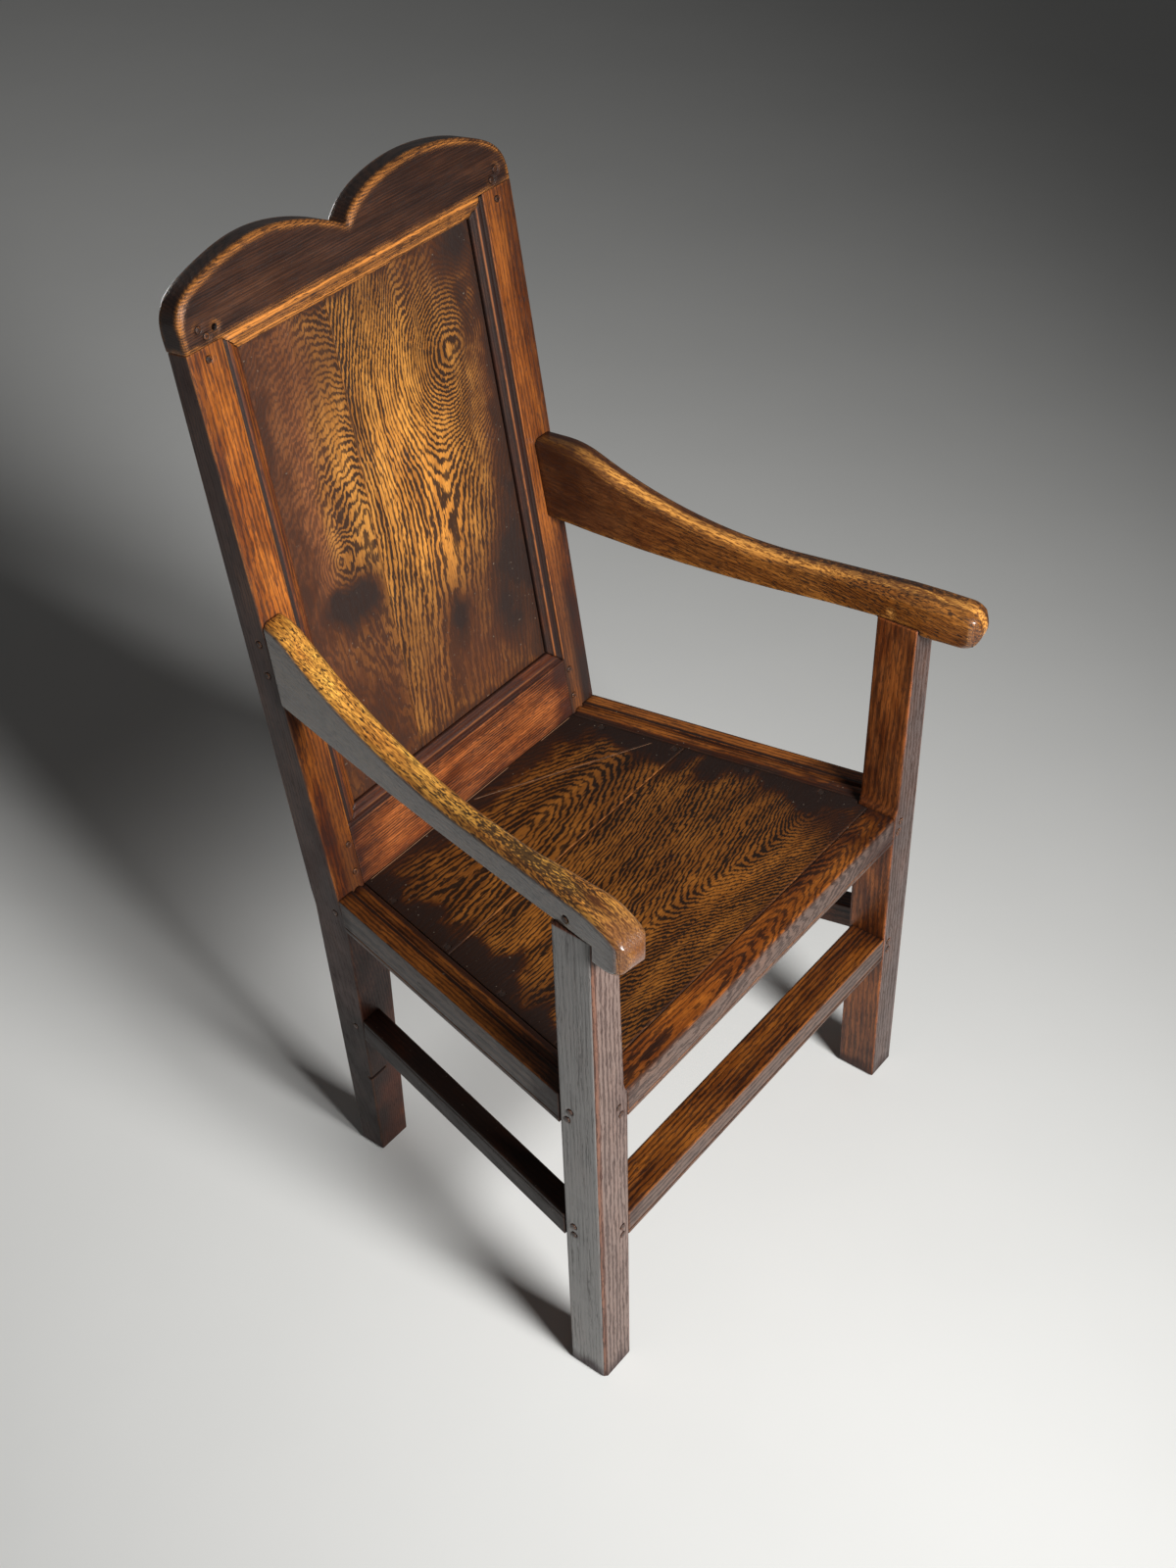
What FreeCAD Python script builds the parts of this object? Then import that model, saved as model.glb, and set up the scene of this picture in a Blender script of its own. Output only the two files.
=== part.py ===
"""Oak panel-back armchair with a double-arched crest, a boarded seat and open arms.

Millimetres, +Z up, +X to the sitter's left as seen from the front, -Y to the front. The origin is
on the floor in the middle of the chair's box. Every piece is drawn from the front faces of the
front posts (y = 0) and moved to the origin at the end. Left and right are as seen from the front.
"""

import FreeCAD
import Part
import math
import os

from FreeCAD import Vector

# The chair as a whole
SEAT_HEIGHT = 427.0
FRONT_WIDTH = 580.0
REAR_WIDTH = 439.0
SEAT_DEPTH = 400.8
BACK_RAKE = 8.5
SHOULDER_UP_BACK = 628.0

# Fits and cuts
SHOULDER_GAP = 0.25
MORTISE_GAP = 0.3
PEG_GAP = 0.15
OVERRUN = 20.0
PROBE_SHARES = (0.0, 0.5, 1.0)

# Front posts, each one leg and arm support in one length
FRONT_POST_WIDTH = 46.5
FRONT_POST_DEPTH = 48.0
FRONT_FOOT_WIDTH = 42.5
POST_NECK_WIDTH = 41.5
POST_TOP_WIDTH = 37.0
POST_FLARE_HEIGHT = 20.0
POST_FLARE_IN_SHARE = 0.72
POST_FLARE_UP_SHARE = 0.4
ARRIS_WEAR = 3.5
ARRIS_EASE = 2.5
FOOT_EASE = 2.5
ARM_SHOULDER_ABOVE_SEAT = {"left": 234.0, "right": 249.0}

# Rear posts, each one leg and back stile in one length
STILE_WIDTH = 57.5
STILE_TOP_SPREAD = 5.0
STILE_TOP_THICKNESS = 26.0
REAR_POST_DEPTH = 39.0
REAR_FOOT_WIDTH = 42.0
REAR_FOOT_DEPTH = 33.0
REAR_FOOT_INSET = 20.0
REAR_FOOT_SETBACK = 6.0
BACK_BEND_DROP = 22.0

# Run moulding on the inner edges of the back frame and of the side seat rails
MOULDING_WIDTH = 18.5
QUIRK_WIDTH = 2.5
QUIRK_DEPTH = 3.2
BEAD_WIDTH = 10.5
BEAD_SINK = 0.5
FILLET_DEPTH = 4.6

# Back panel of two upright boards
PANEL_DEPTH = 10.0
PANEL_THICKNESS = 8.0
PANEL_GROOVE = 9.0
PANEL_SEAM_TOP = 43.8
PANEL_SEAM_BOTTOM = 49.2
BOARD_GAP = 0.5

# Lower back rail
BACK_RAIL_FACE = 75.0
BACK_RAIL_THICKNESS = 30.0

# Crest rail: shares of its half width and of the height of its arches above the shoulder
CREST_THICKNESS = 29.0
CREST_ARCH_HEIGHT = 73.0
CREST_TOP_EASE = 2.6
LEFT_ARCH_SHARES = [(-1.0, 0.38), (-0.96, 0.61), (-0.81, 0.84), (-0.515, 1.0), (-0.24, 0.85),
                    (-0.018, 0.53)]
RIGHT_ARCH_SHARES = [(-0.018, 0.53), (0.05, 0.73), (0.18, 0.9), (0.43, 1.0), (0.69, 0.89), (0.86, 0.70),
                     (0.965, 0.47), (1.0, 0.27)]

# Seat rails
SEAT_RAIL_HEIGHT = 36.5
SIDE_RAIL_RISE = 4.5
SIDE_RAIL_FLAT = 20.5
SEAT_LEDGE = 14.0
FRONT_RAIL_TOP_WIDTH = 34.0
FRONT_RAIL_WIDTH = 45.0
FRONT_RAIL_ROUND = 4.0
SCRATCH_WIDTH = 1.6
SCRATCH_DEPTH = 1.2
SCRATCH_UP = 6.0

# Seat boards
SEAT_BOARD = 16.0
SEAT_JOINT_SHARE = 0.644
SEAT_EDGE_GAP = 1.0
SEAT_TONGUE = 7.0

# Stretchers
FRONT_STRETCHER_TOP = 240.0
FRONT_STRETCHER_HEIGHT = 33.5
FRONT_STRETCHER_WIDTH = 44.0
SIDE_STRETCHER_FRONT_TOP = 247.0
SIDE_STRETCHER_REAR_TOP = 239.0
SIDE_STRETCHER_HEIGHT = 32.0
SIDE_STRETCHER_WIDTH = 26.0

# Arms: places along an arm are shares of its length from the rear post
ARM_REAR_ABOVE_SEAT = 346.0
ARM_REAR_DEPTH = 92.0
ARM_FRONT_DEPTH = 36.5
ARM_REAR_WIDTH = 29.0
ARM_WAIST_WIDTH = 26.5
ARM_FRONT_WIDTH = 38.0
ARM_OVERHANG = 2.5
ARM_SHOULDER_FLAT = {"left": 4.0, "right": 24.0}
ARM_SHOULDER_RADIUS = {"left": 60.0, "right": 90.0}
ARM_SWEEP_SHARE = 0.64
ARM_DIP = {"left": 0.0, "right": 4.5}
ARM_WAIST_SHARE = 0.76
ARM_WAIST_RADIUS = 300.0
ARM_NECK_RADIUS = 120.0
ARM_UNDERSIDE_PLACE_SHARE = 0.4
ARM_UNDERSIDE_SINK = 14.0
ARM_NOSE_REACH = {"left": 40.0, "right": 59.0}
ARM_NOSE_RADIUS = {"left": 25.0, "right": 22.0}
ARM_NOSE_LIFT = {"left": 2.2, "right": 12.5}
ARM_NOSE_CORNER = 10.0
ARM_BEVEL = 5.0

# Tenons: thickness, and how far each goes into its mortise
TENON_THICKNESS = 10.0
TENON_MARGIN = 6.0
FRONT_RAIL_TENON = 24.0
SIDE_RAIL_TENON = 27.0
SIDE_TENON_INSET = 10.0
REAR_TENON = 24.0
FACE_TENON_INSET = 14.0
BACK_RAIL_TENON = 27.0
CREST_TENON = 25.0
CREST_TENON_WIDTH = 36.0
CREST_TENON_INSET = 9.0
CREST_TENON_THICKNESS = 8.0
ARM_TENON_MARGIN = 17.0
ARM_REAR_TENON = 21.0
POST_TENON_HEIGHT = 22.0
POST_TENON_LENGTH = 30.0
POST_TENON_THICKNESS = 12.0

# Pegs and nails
PEG_RADIUS = 3.6
PEG_SIDES = 8
PEG_LENGTH = 30.0
REAR_PEG_LENGTH = 25.0
PEG_PROUD = 0.6
BACK_PEG_LENGTH = 22.0
PEG_SPACING = 13.0
PEG_INSET = 12.0
CREST_PEG_SHARE = 0.68
CREST_PEG_RISE = 4.3
BACK_RAIL_PEG_SHARES = [0.3, 0.78]
ARM_PEG_SPACING = 36.0
NAIL_SHANK = 3.2
NAIL_HEAD = 6.4
NAIL_HEAD_HEIGHT = 0.7
NAIL_CORNER = 1.6
NAIL_LENGTH = 24.0
NAIL_EDGE = 6.5
NAIL_SHARES = [0.12, 0.37, 0.62, 0.88]

# The open peg hole in the crest, the old notch in the left rear leg and the split in the rear seat board
OPEN_HOLE_RADIUS = 3.2
OPEN_HOLE_DEPTH = 9.0
OPEN_HOLE_INSET = 5.5
NOTCH_HEIGHT = 134.0
NOTCH_WIDTH = 24.0
NOTCH_TALL = 4.0
NOTCH_DEPTH = 5.0
SPLIT_WIDTH = 1.0
SPLIT_DEPTH = 1.5
SPLIT_RIGHT_SHARES = (0.87, 0.735)
SPLIT_LEFT_SHARES = (-0.02, 0.985)

# Places worked out from the sizes above
SIDES = {"left": -1, "right": 1}
RAKE = math.radians(BACK_RAKE)
EIGHTH_TURN = math.pi / 4
FRONT_HALF = FRONT_WIDTH / 2
REAR_HALF = REAR_WIDTH / 2
STILE_INNER = REAR_HALF - STILE_WIDTH
FACE_EDGE = STILE_INNER + MOULDING_WIDTH
PANEL_TOP = SHOULDER_UP_BACK - MOULDING_WIDTH
PANEL_BOTTOM = BACK_RAIL_FACE + MOULDING_WIDTH
RAIL_BOTTOM = SEAT_HEIGHT - SEAT_RAIL_HEIGHT
RAIL_DROP = SEAT_RAIL_HEIGHT / math.cos(RAKE)
SIDE_RAIL_TOP = SEAT_HEIGHT + SIDE_RAIL_RISE
SIDE_RAIL_BAND = SIDE_RAIL_FLAT + MOULDING_WIDTH
BOARD_UNDER = SEAT_HEIGHT - SEAT_BOARD
SEAT_JOINT_Y = SEAT_DEPTH * SEAT_JOINT_SHARE
CREST_HALF = REAR_HALF + STILE_TOP_SPREAD
SIDE_ANGLE = math.atan2(FRONT_HALF - REAR_HALF, SEAT_DEPTH - FRONT_POST_DEPTH)


def face_y(height):
    """How far back the front face of the back stands at a height above the floor."""
    return SEAT_DEPTH + (height - SEAT_HEIGHT) * math.tan(RAKE)


def leg_half(height):
    """Outer face of the rear leg, from the middle of the chair, at a height below the seat."""
    return REAR_HALF - REAR_FOOT_INSET * (1 - height / SEAT_HEIGHT)


def leg_face_y(height):
    """Front face of the rear leg at a height below the seat rails."""
    bend = face_y(RAIL_BOTTOM)
    foot = SEAT_DEPTH + REAR_FOOT_SETBACK
    return foot + (bend - foot) * height / RAIL_BOTTOM


def side_line(y):
    """Outer faces of the side rails, from the middle of the chair."""
    return FRONT_HALF - (y - FRONT_POST_DEPTH) * math.tan(SIDE_ANGLE)


def block(low, high, grow=0.0):
    """A box between two corners, let out all round by a clearance."""
    size = [b - a + grow + grow for a, b in zip(low, high)]
    return Part.makeBox(size[0], size[1], size[2], Vector(*[a - grow for a in low]))


def prism(edges, along):
    """A solid from a closed ring of edges, carried along a vector."""
    return Part.Face(Part.Wire(Part.__sortEdges__(edges))).extrude(along)


def ring(points):
    """The straight edges of a closed outline."""
    closed = points + points[:1]
    return [Part.makeLine(a, b) for a, b in zip(closed, closed[1:])]


def flat_prism(points, along):
    """A solid from a straight-sided outline."""
    return prism(ring(points), along)


def smooth(points):
    """One smooth curve through the points."""
    curve = Part.BSplineCurve()
    curve.interpolate(points)
    return curve.toShape()


def mirrored(shape):
    """The same piece for the other side of the chair."""
    return shape.mirror(Vector(0, 0, 0), Vector(1, 0, 0))


def lean_back(shape):
    """Carries a piece drawn upright, from the seat, into the leaning plane of the back."""
    shape.rotate(Vector(0, 0, 0), Vector(1, 0, 0), -BACK_RAKE)
    shape.translate(Vector(0, SEAT_DEPTH, SEAT_HEIGHT))
    return shape


def moulding_waste(corner, across, inward, along):
    """What the moulding plane takes off: a quirk, a bead, a second quirk and a low fillet."""
    def at(s, d):
        return corner + across * s + inward * d

    bead_end = QUIRK_WIDTH + BEAD_WIDTH
    edge = MOULDING_WIDTH + OVERRUN
    points = [at(bead_end, QUIRK_DEPTH), at(bead_end, FILLET_DEPTH), at(edge, FILLET_DEPTH),
              at(edge, -OVERRUN), at(0, -OVERRUN), at(0, QUIRK_DEPTH), at(QUIRK_WIDTH, QUIRK_DEPTH)]
    lines = [Part.makeLine(a, b) for a, b in zip(points, points[1:])]
    crown = at(QUIRK_WIDTH + BEAD_WIDTH / 2, BEAD_SINK)
    bead = Part.Arc(points[-1], crown, points[0]).toShape()
    return prism(lines + [bead], along)


def scratch_line(start, along, up, out):
    """A fine V line scratched along a face near its edge."""
    half = up * (SCRATCH_WIDTH / 2)
    lip = out * (SCRATCH_DEPTH / 2)
    return flat_prism([start + half + lip, start - half + lip, start - half, start - out * SCRATCH_DEPTH,
                       start + half], along)


def eight_sided(start, direction, radius, length):
    """A bar shaved to eight sides, from a point along a direction."""
    across = direction.cross(Vector(0, 0, 1))
    up = across.cross(direction)
    turns = [(side + side + 1) * math.pi / PEG_SIDES for side in range(PEG_SIDES)]
    corners = [start + across * radius * math.cos(t) + up * radius * math.sin(t) for t in turns]
    return flat_prism(corners, direction * length)


def holes(places):
    """The holes for a list of pegs, run out past the face; each peg has forced its hole to its own shape."""
    made = []
    for centre, direction, length in places:
        start = centre - direction * OVERRUN
        made.append(eight_sided(start, direction, PEG_RADIUS + PEG_GAP, length + OVERRUN + PEG_GAP))
    return made


def turned(before, corner, after, radius):
    """The arc that rounds a corner of an outline, as its first, middle and last points."""
    back = (before - corner).normalize()
    on = (after - corner).normalize()
    half = back.getAngle(on) / 2
    reach = radius / math.tan(half)
    centre = corner + (back + on).normalize() * (radius / math.sin(half))
    middle = centre + (corner - centre).normalize() * radius
    return corner + back * reach, middle, corner + on * reach


def edges_along_z(shape, x, y):
    """The upright edges of a shape that stand on a plan point."""
    def on_point(vertex):
        return abs(vertex.X - x) < MORTISE_GAP and abs(vertex.Y - y) < MORTISE_GAP

    return [e for e in shape.Edges if all(on_point(v) for v in e.Vertexes)]


def foot_edges(shape):
    """The edges round the sole of a leg."""
    return [e for e in shape.Edges if all(abs(v.Z) < MORTISE_GAP for v in e.Vertexes)]


# Pegs, each as a point on a face, a direction into the wood and a length, for the right-hand side


def front_rail_pegs():
    """Two pegs through the front of the post into the front rail's tenon."""
    x = FRONT_HALF - FRONT_POST_WIDTH + PEG_INSET
    middle = RAIL_BOTTOM + SEAT_RAIL_HEIGHT / 2
    return [(Vector(x + s * PEG_RADIUS / 2, 0, middle + s * PEG_SPACING / 2), Vector(0, 1, 0), PEG_LENGTH)
            for s in (-1, 1)]


def side_rail_front_pegs():
    """Two pegs through the outside of the front post into the side rail's tenon."""
    y = FRONT_POST_DEPTH - PEG_INSET
    middle = RAIL_BOTTOM + SEAT_RAIL_HEIGHT / 2
    return [(Vector(FRONT_HALF, y - s * PEG_RADIUS / 2, middle + s * PEG_SPACING / 2), Vector(-1, 0, 0),
             PEG_LENGTH) for s in (-1, 1)]


def side_rail_rear_pegs():
    """One peg through the outside of the rear post into the side rail's tenon."""
    z = RAIL_BOTTOM + SEAT_RAIL_HEIGHT / 2
    return [(Vector(leg_half(z), face_y(z) + PEG_INSET, z), Vector(-1, 0, 0), REAR_PEG_LENGTH)]


def front_stretcher_pegs():
    """Two pegs through the front of the post into the front stretcher's tenon."""
    x = FRONT_HALF - FRONT_POST_WIDTH + PEG_INSET
    middle = FRONT_STRETCHER_TOP - FRONT_STRETCHER_HEIGHT / 2
    return [(Vector(x, 0, middle + s * PEG_SPACING / 2), Vector(0, 1, 0), PEG_LENGTH) for s in (-1, 1)]


def side_stretcher_front_pegs():
    """Two pegs through the outside of the front post into the side stretcher's tenon."""
    y = FRONT_POST_DEPTH - PEG_INSET
    middle = SIDE_STRETCHER_FRONT_TOP - SIDE_STRETCHER_HEIGHT / 2
    return [(Vector(FRONT_HALF, y, middle + s * PEG_SPACING / 2), Vector(-1, 0, 0), PEG_LENGTH)
            for s in (-1, 1)]


def side_stretcher_rear_pegs():
    """One peg through the outside of the rear leg into the side stretcher's tenon."""
    z = SIDE_STRETCHER_REAR_TOP - SIDE_STRETCHER_HEIGHT / 2
    return [(Vector(leg_half(z), leg_face_y(z) + PEG_INSET, z), Vector(-1, 0, 0), REAR_PEG_LENGTH)]


def arm_post_pegs(side):
    """One peg through the outside of the arm into the tenon on top of the front post."""
    z = SEAT_HEIGHT + ARM_SHOULDER_ABOVE_SEAT[side] + POST_TENON_HEIGHT / 2
    y = FRONT_POST_DEPTH / 2 + POST_TENON_LENGTH / 2 - PEG_RADIUS - PEG_RADIUS
    return [(Vector(arm_outer(y), y, z), Vector(-1, 0, 0), POST_TOP_WIDTH - PEG_RADIUS)]


def arm_rear_pegs():
    """Two pegs through the outside of the stile into the arm's rear tenon."""
    middle = SEAT_HEIGHT + ARM_REAR_ABOVE_SEAT - ARM_REAR_DEPTH / 2
    made = []
    for s in (-1, 1):
        z = middle + s * ARM_PEG_SPACING / 2
        made.append((Vector(stile_half(z), face_y(z) + PEG_INSET, z), Vector(-1, 0, 0), PEG_LENGTH))
    return made


def crest_pegs_upright():
    """Two pegs through the face of the crest into the stile's tenon, and an older one in the stile."""
    x = STILE_INNER + STILE_WIDTH * CREST_PEG_SHARE
    up = SHOULDER_UP_BACK + CREST_TENON / 2
    low = SHOULDER_UP_BACK - CREST_TENON / 2
    return [(Vector(x + PEG_RADIUS, 0, up + CREST_PEG_RISE), Vector(0, 1, 0), BACK_PEG_LENGTH),
            (Vector(x - PEG_RADIUS, 0, up - CREST_PEG_RISE), Vector(0, 1, 0), BACK_PEG_LENGTH),
            (Vector(x, 0, low), Vector(0, 1, 0), CREST_TENON_INSET)]


def back_rail_pegs_upright():
    """Two pegs through the face of the stile into the lower back rail's tenon."""
    x = FACE_EDGE + PEG_RADIUS + PEG_RADIUS
    return [(Vector(x, 0, BACK_RAIL_FACE * share), Vector(0, 1, 0), BACK_PEG_LENGTH)
            for share in BACK_RAIL_PEG_SHARES]


def stile_half(height):
    """Outer face of the stile, from the middle of the chair, at a height above the seat."""
    top = SEAT_HEIGHT + SHOULDER_UP_BACK * math.cos(RAKE)
    return REAR_HALF + STILE_TOP_SPREAD * (height - SEAT_HEIGHT) / (top - SEAT_HEIGHT)


# Tenons, for the right-hand side; the same boxes, let out by the clearance, are the mortises


def front_rail_tenon(grow=0.0):
    """On the end of the front rail, into the inner face of the front post."""
    x = FRONT_HALF - FRONT_POST_WIDTH
    return block((x - TENON_MARGIN, FACE_TENON_INSET, RAIL_BOTTOM + TENON_MARGIN),
                 (x + FRONT_RAIL_TENON, FACE_TENON_INSET + TENON_THICKNESS, BOARD_UNDER), grow)


def side_rail_front_tenon(grow=0.0):
    """On the front end of the side rail, into the back of the front post."""
    x = FRONT_HALF - SIDE_TENON_INSET
    y = FRONT_POST_DEPTH
    return block((x - TENON_THICKNESS, y - SIDE_RAIL_TENON, RAIL_BOTTOM + TENON_MARGIN),
                 (x, y + TENON_MARGIN, SEAT_HEIGHT - TENON_MARGIN), grow)


def side_rail_rear_tenon(grow=0.0):
    """On the rear end of the side rail, into the face of the rear post."""
    x = REAR_HALF - SIDE_TENON_INSET - TENON_MARGIN / 2
    y = SEAT_DEPTH
    return block((x - TENON_THICKNESS, y - TENON_MARGIN - TENON_MARGIN, RAIL_BOTTOM + TENON_MARGIN),
                 (x, y + REAR_TENON, SEAT_HEIGHT - TENON_MARGIN), grow)


def front_stretcher_tenon(grow=0.0):
    """On the end of the front stretcher, into the inner face of the front post."""
    x = FRONT_HALF - FRONT_POST_WIDTH
    top = FRONT_STRETCHER_TOP - TENON_MARGIN
    low = FRONT_STRETCHER_TOP - FRONT_STRETCHER_HEIGHT + TENON_MARGIN
    return block((x - TENON_MARGIN, FACE_TENON_INSET, low),
                 (x + FRONT_RAIL_TENON, FACE_TENON_INSET + TENON_THICKNESS, top), grow)


def side_stretcher_front_tenon(grow=0.0):
    """On the front end of the side stretcher, into the back of the front post."""
    x = FRONT_HALF - SIDE_TENON_INSET / 2
    y = FRONT_POST_DEPTH
    top = SIDE_STRETCHER_FRONT_TOP - TENON_MARGIN
    low = SIDE_STRETCHER_FRONT_TOP - SIDE_STRETCHER_HEIGHT + TENON_MARGIN
    return block((x - TENON_THICKNESS, y - SIDE_RAIL_TENON, low), (x, y + TENON_MARGIN, top), grow)


def side_stretcher_rear_tenon(grow=0.0):
    """On the rear end of the side stretcher, into the front face of the rear leg."""
    top = SIDE_STRETCHER_REAR_TOP - TENON_MARGIN
    low = SIDE_STRETCHER_REAR_TOP - SIDE_STRETCHER_HEIGHT + TENON_MARGIN
    x = leg_half(low) - SIDE_TENON_INSET / 2
    y = leg_face_y(low)
    return block((x - TENON_THICKNESS, y - TENON_MARGIN, low), (x, y + REAR_TENON, top), grow)


def back_rail_tenon(grow=0.0):
    """On the end of the lower back rail, upright; into the inner face of the stile."""
    low = TENON_MARGIN - RAIL_DROP
    return block((STILE_INNER - TENON_MARGIN, PANEL_DEPTH, low),
                 (STILE_INNER + BACK_RAIL_TENON, PANEL_DEPTH + TENON_THICKNESS, BACK_RAIL_FACE), grow)


def crest_tenon(grow=0.0):
    """On the head of the stile, upright; into the underside of the crest rail."""
    x = STILE_INNER + STILE_WIDTH / 2 + TENON_MARGIN / 2
    return block((x - CREST_TENON_WIDTH / 2, CREST_TENON_INSET, SHOULDER_UP_BACK - TENON_MARGIN),
                 (x + CREST_TENON_WIDTH / 2, CREST_TENON_INSET + CREST_TENON_THICKNESS,
                  SHOULDER_UP_BACK + CREST_TENON), grow)


def arm_rear_tenon(grow=0.0):
    """On the rear end of the arm, into the face of the stile."""
    top = SEAT_HEIGHT + ARM_REAR_ABOVE_SEAT - ARM_TENON_MARGIN
    low = SEAT_HEIGHT + ARM_REAR_ABOVE_SEAT - ARM_REAR_DEPTH + ARM_TENON_MARGIN
    x = arm_outer(face_y(top)) - ARM_REAR_WIDTH / 2 + TENON_THICKNESS / 2
    return block((x - TENON_THICKNESS, face_y(low) - TENON_THICKNESS, low),
                 (x, face_y(low) + ARM_REAR_TENON, top), grow)


def post_tenon(side, grow=0.0):
    """On the head of the front post, up into the underside of the arm."""
    z = SEAT_HEIGHT + ARM_SHOULDER_ABOVE_SEAT[side]
    x = FRONT_HALF - POST_TOP_WIDTH / 2
    y = FRONT_POST_DEPTH / 2
    return block((x - POST_TENON_THICKNESS / 2, y - POST_TENON_LENGTH / 2, z - TENON_MARGIN),
                 (x + POST_TENON_THICKNESS / 2, y + POST_TENON_LENGTH / 2, z + POST_TENON_HEIGHT), grow)


# Posts


def front_post(side):
    """A front leg and arm support: full below the seat, flared at it, and slimmer above."""
    top = SEAT_HEIGHT + ARM_SHOULDER_ABOVE_SEAT[side]
    neck = SEAT_HEIGHT + POST_FLARE_HEIGHT
    inner = FRONT_HALF - FRONT_POST_WIDTH
    neck_x = FRONT_HALF - POST_NECK_WIDTH
    flare = Vector(inner + (neck_x - inner) * POST_FLARE_IN_SHARE, 0,
                   SEAT_HEIGHT + POST_FLARE_HEIGHT * POST_FLARE_UP_SHARE)
    points = [Vector(inner, 0, SEAT_HEIGHT), Vector(inner, 0, RAIL_BOTTOM),
              Vector(FRONT_HALF - FRONT_FOOT_WIDTH, 0, 0), Vector(FRONT_HALF, 0, 0),
              Vector(FRONT_HALF, 0, top), Vector(FRONT_HALF - POST_TOP_WIDTH, 0, top),
              Vector(neck_x, 0, neck)]
    lines = [Part.makeLine(a, b) for a, b in zip(points, points[1:])]
    curve = Part.Arc(points[-1], flare, points[0]).toShape()
    post = prism(lines + [curve], Vector(0, FRONT_POST_DEPTH, 0))
    post = post.makeChamfer(ARRIS_WEAR, edges_along_z(post, FRONT_HALF, 0))
    post = post.makeChamfer(ARRIS_EASE, edges_along_z(post, FRONT_HALF, FRONT_POST_DEPTH))
    post = post.makeChamfer(FOOT_EASE, foot_edges(post))
    post = post.fuse(post_tenon(side))
    cuts = [front_rail_tenon(MORTISE_GAP), side_rail_front_tenon(MORTISE_GAP),
            front_stretcher_tenon(MORTISE_GAP), side_stretcher_front_tenon(MORTISE_GAP)]
    pegs = front_rail_pegs() + side_rail_front_pegs() + front_stretcher_pegs() + side_stretcher_front_pegs()
    return post.cut(cuts + holes(pegs + arm_post_pegs(side))).removeSplitter()


def rear_post_blank():
    """The rear post before its joints: its side view and its front view, cut from one plank."""
    head_y = SHOULDER_UP_BACK * math.sin(RAKE)
    head_z = SHOULDER_UP_BACK * math.cos(RAKE)
    back = Vector(0, STILE_TOP_THICKNESS * math.cos(RAKE), -STILE_TOP_THICKNESS * math.sin(RAKE))
    head = Vector(0, SEAT_DEPTH + head_y, SEAT_HEIGHT + head_z)
    foot_y = SEAT_DEPTH + REAR_FOOT_SETBACK
    side_view = [Vector(0, foot_y, 0), Vector(0, face_y(RAIL_BOTTOM), RAIL_BOTTOM), head, head + back,
                 Vector(0, SEAT_DEPTH + REAR_POST_DEPTH, SEAT_HEIGHT - BACK_BEND_DROP),
                 Vector(0, foot_y + REAR_FOOT_DEPTH, 0)]
    plank = flat_prism(side_view, Vector(FRONT_HALF, 0, 0))
    foot_x = REAR_HALF - REAR_FOOT_INSET
    high = head.z + OVERRUN
    spread = STILE_TOP_SPREAD * (high - SEAT_HEIGHT) / head_z
    front_view = [Vector(foot_x - REAR_FOOT_WIDTH, 0, 0), Vector(foot_x, 0, 0),
                  Vector(REAR_HALF, 0, SEAT_HEIGHT), Vector(REAR_HALF + spread, 0, high),
                  Vector(STILE_INNER, 0, high), Vector(STILE_INNER, 0, RAIL_BOTTOM)]
    blank = plank.common(flat_prism(front_view, Vector(0, SEAT_DEPTH + SEAT_DEPTH, 0)))
    return blank.makeChamfer(FOOT_EASE, foot_edges(blank))


def panel_groove(low, high):
    """The groove for the back panel, upright, between two corners given as (x, height)."""
    back = PANEL_DEPTH + PANEL_THICKNESS
    return block((low[0], PANEL_DEPTH, low[1]), (high[0], back, high[1]), MORTISE_GAP)


def mitre_outline(grow=0.0):
    """Where the mitred faces of the lower rail and of the crest lap over the stile, upright."""
    x0 = STILE_INNER - OVERRUN
    x1 = FACE_EDGE + grow
    slope = MOULDING_WIDTH + OVERRUN
    low = -RAIL_DROP - OVERRUN
    high = SHOULDER_UP_BACK + OVERRUN
    lower = [Vector(x0, 0, low), Vector(x1, 0, low), Vector(x1, 0, BACK_RAIL_FACE + grow),
             Vector(x0, 0, BACK_RAIL_FACE + slope + grow + grow)]
    upper = [Vector(x1, 0, high), Vector(x0, 0, high),
             Vector(x0, 0, SHOULDER_UP_BACK - slope - grow - grow), Vector(x1, 0, SHOULDER_UP_BACK - grow)]
    return lower, upper


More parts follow.
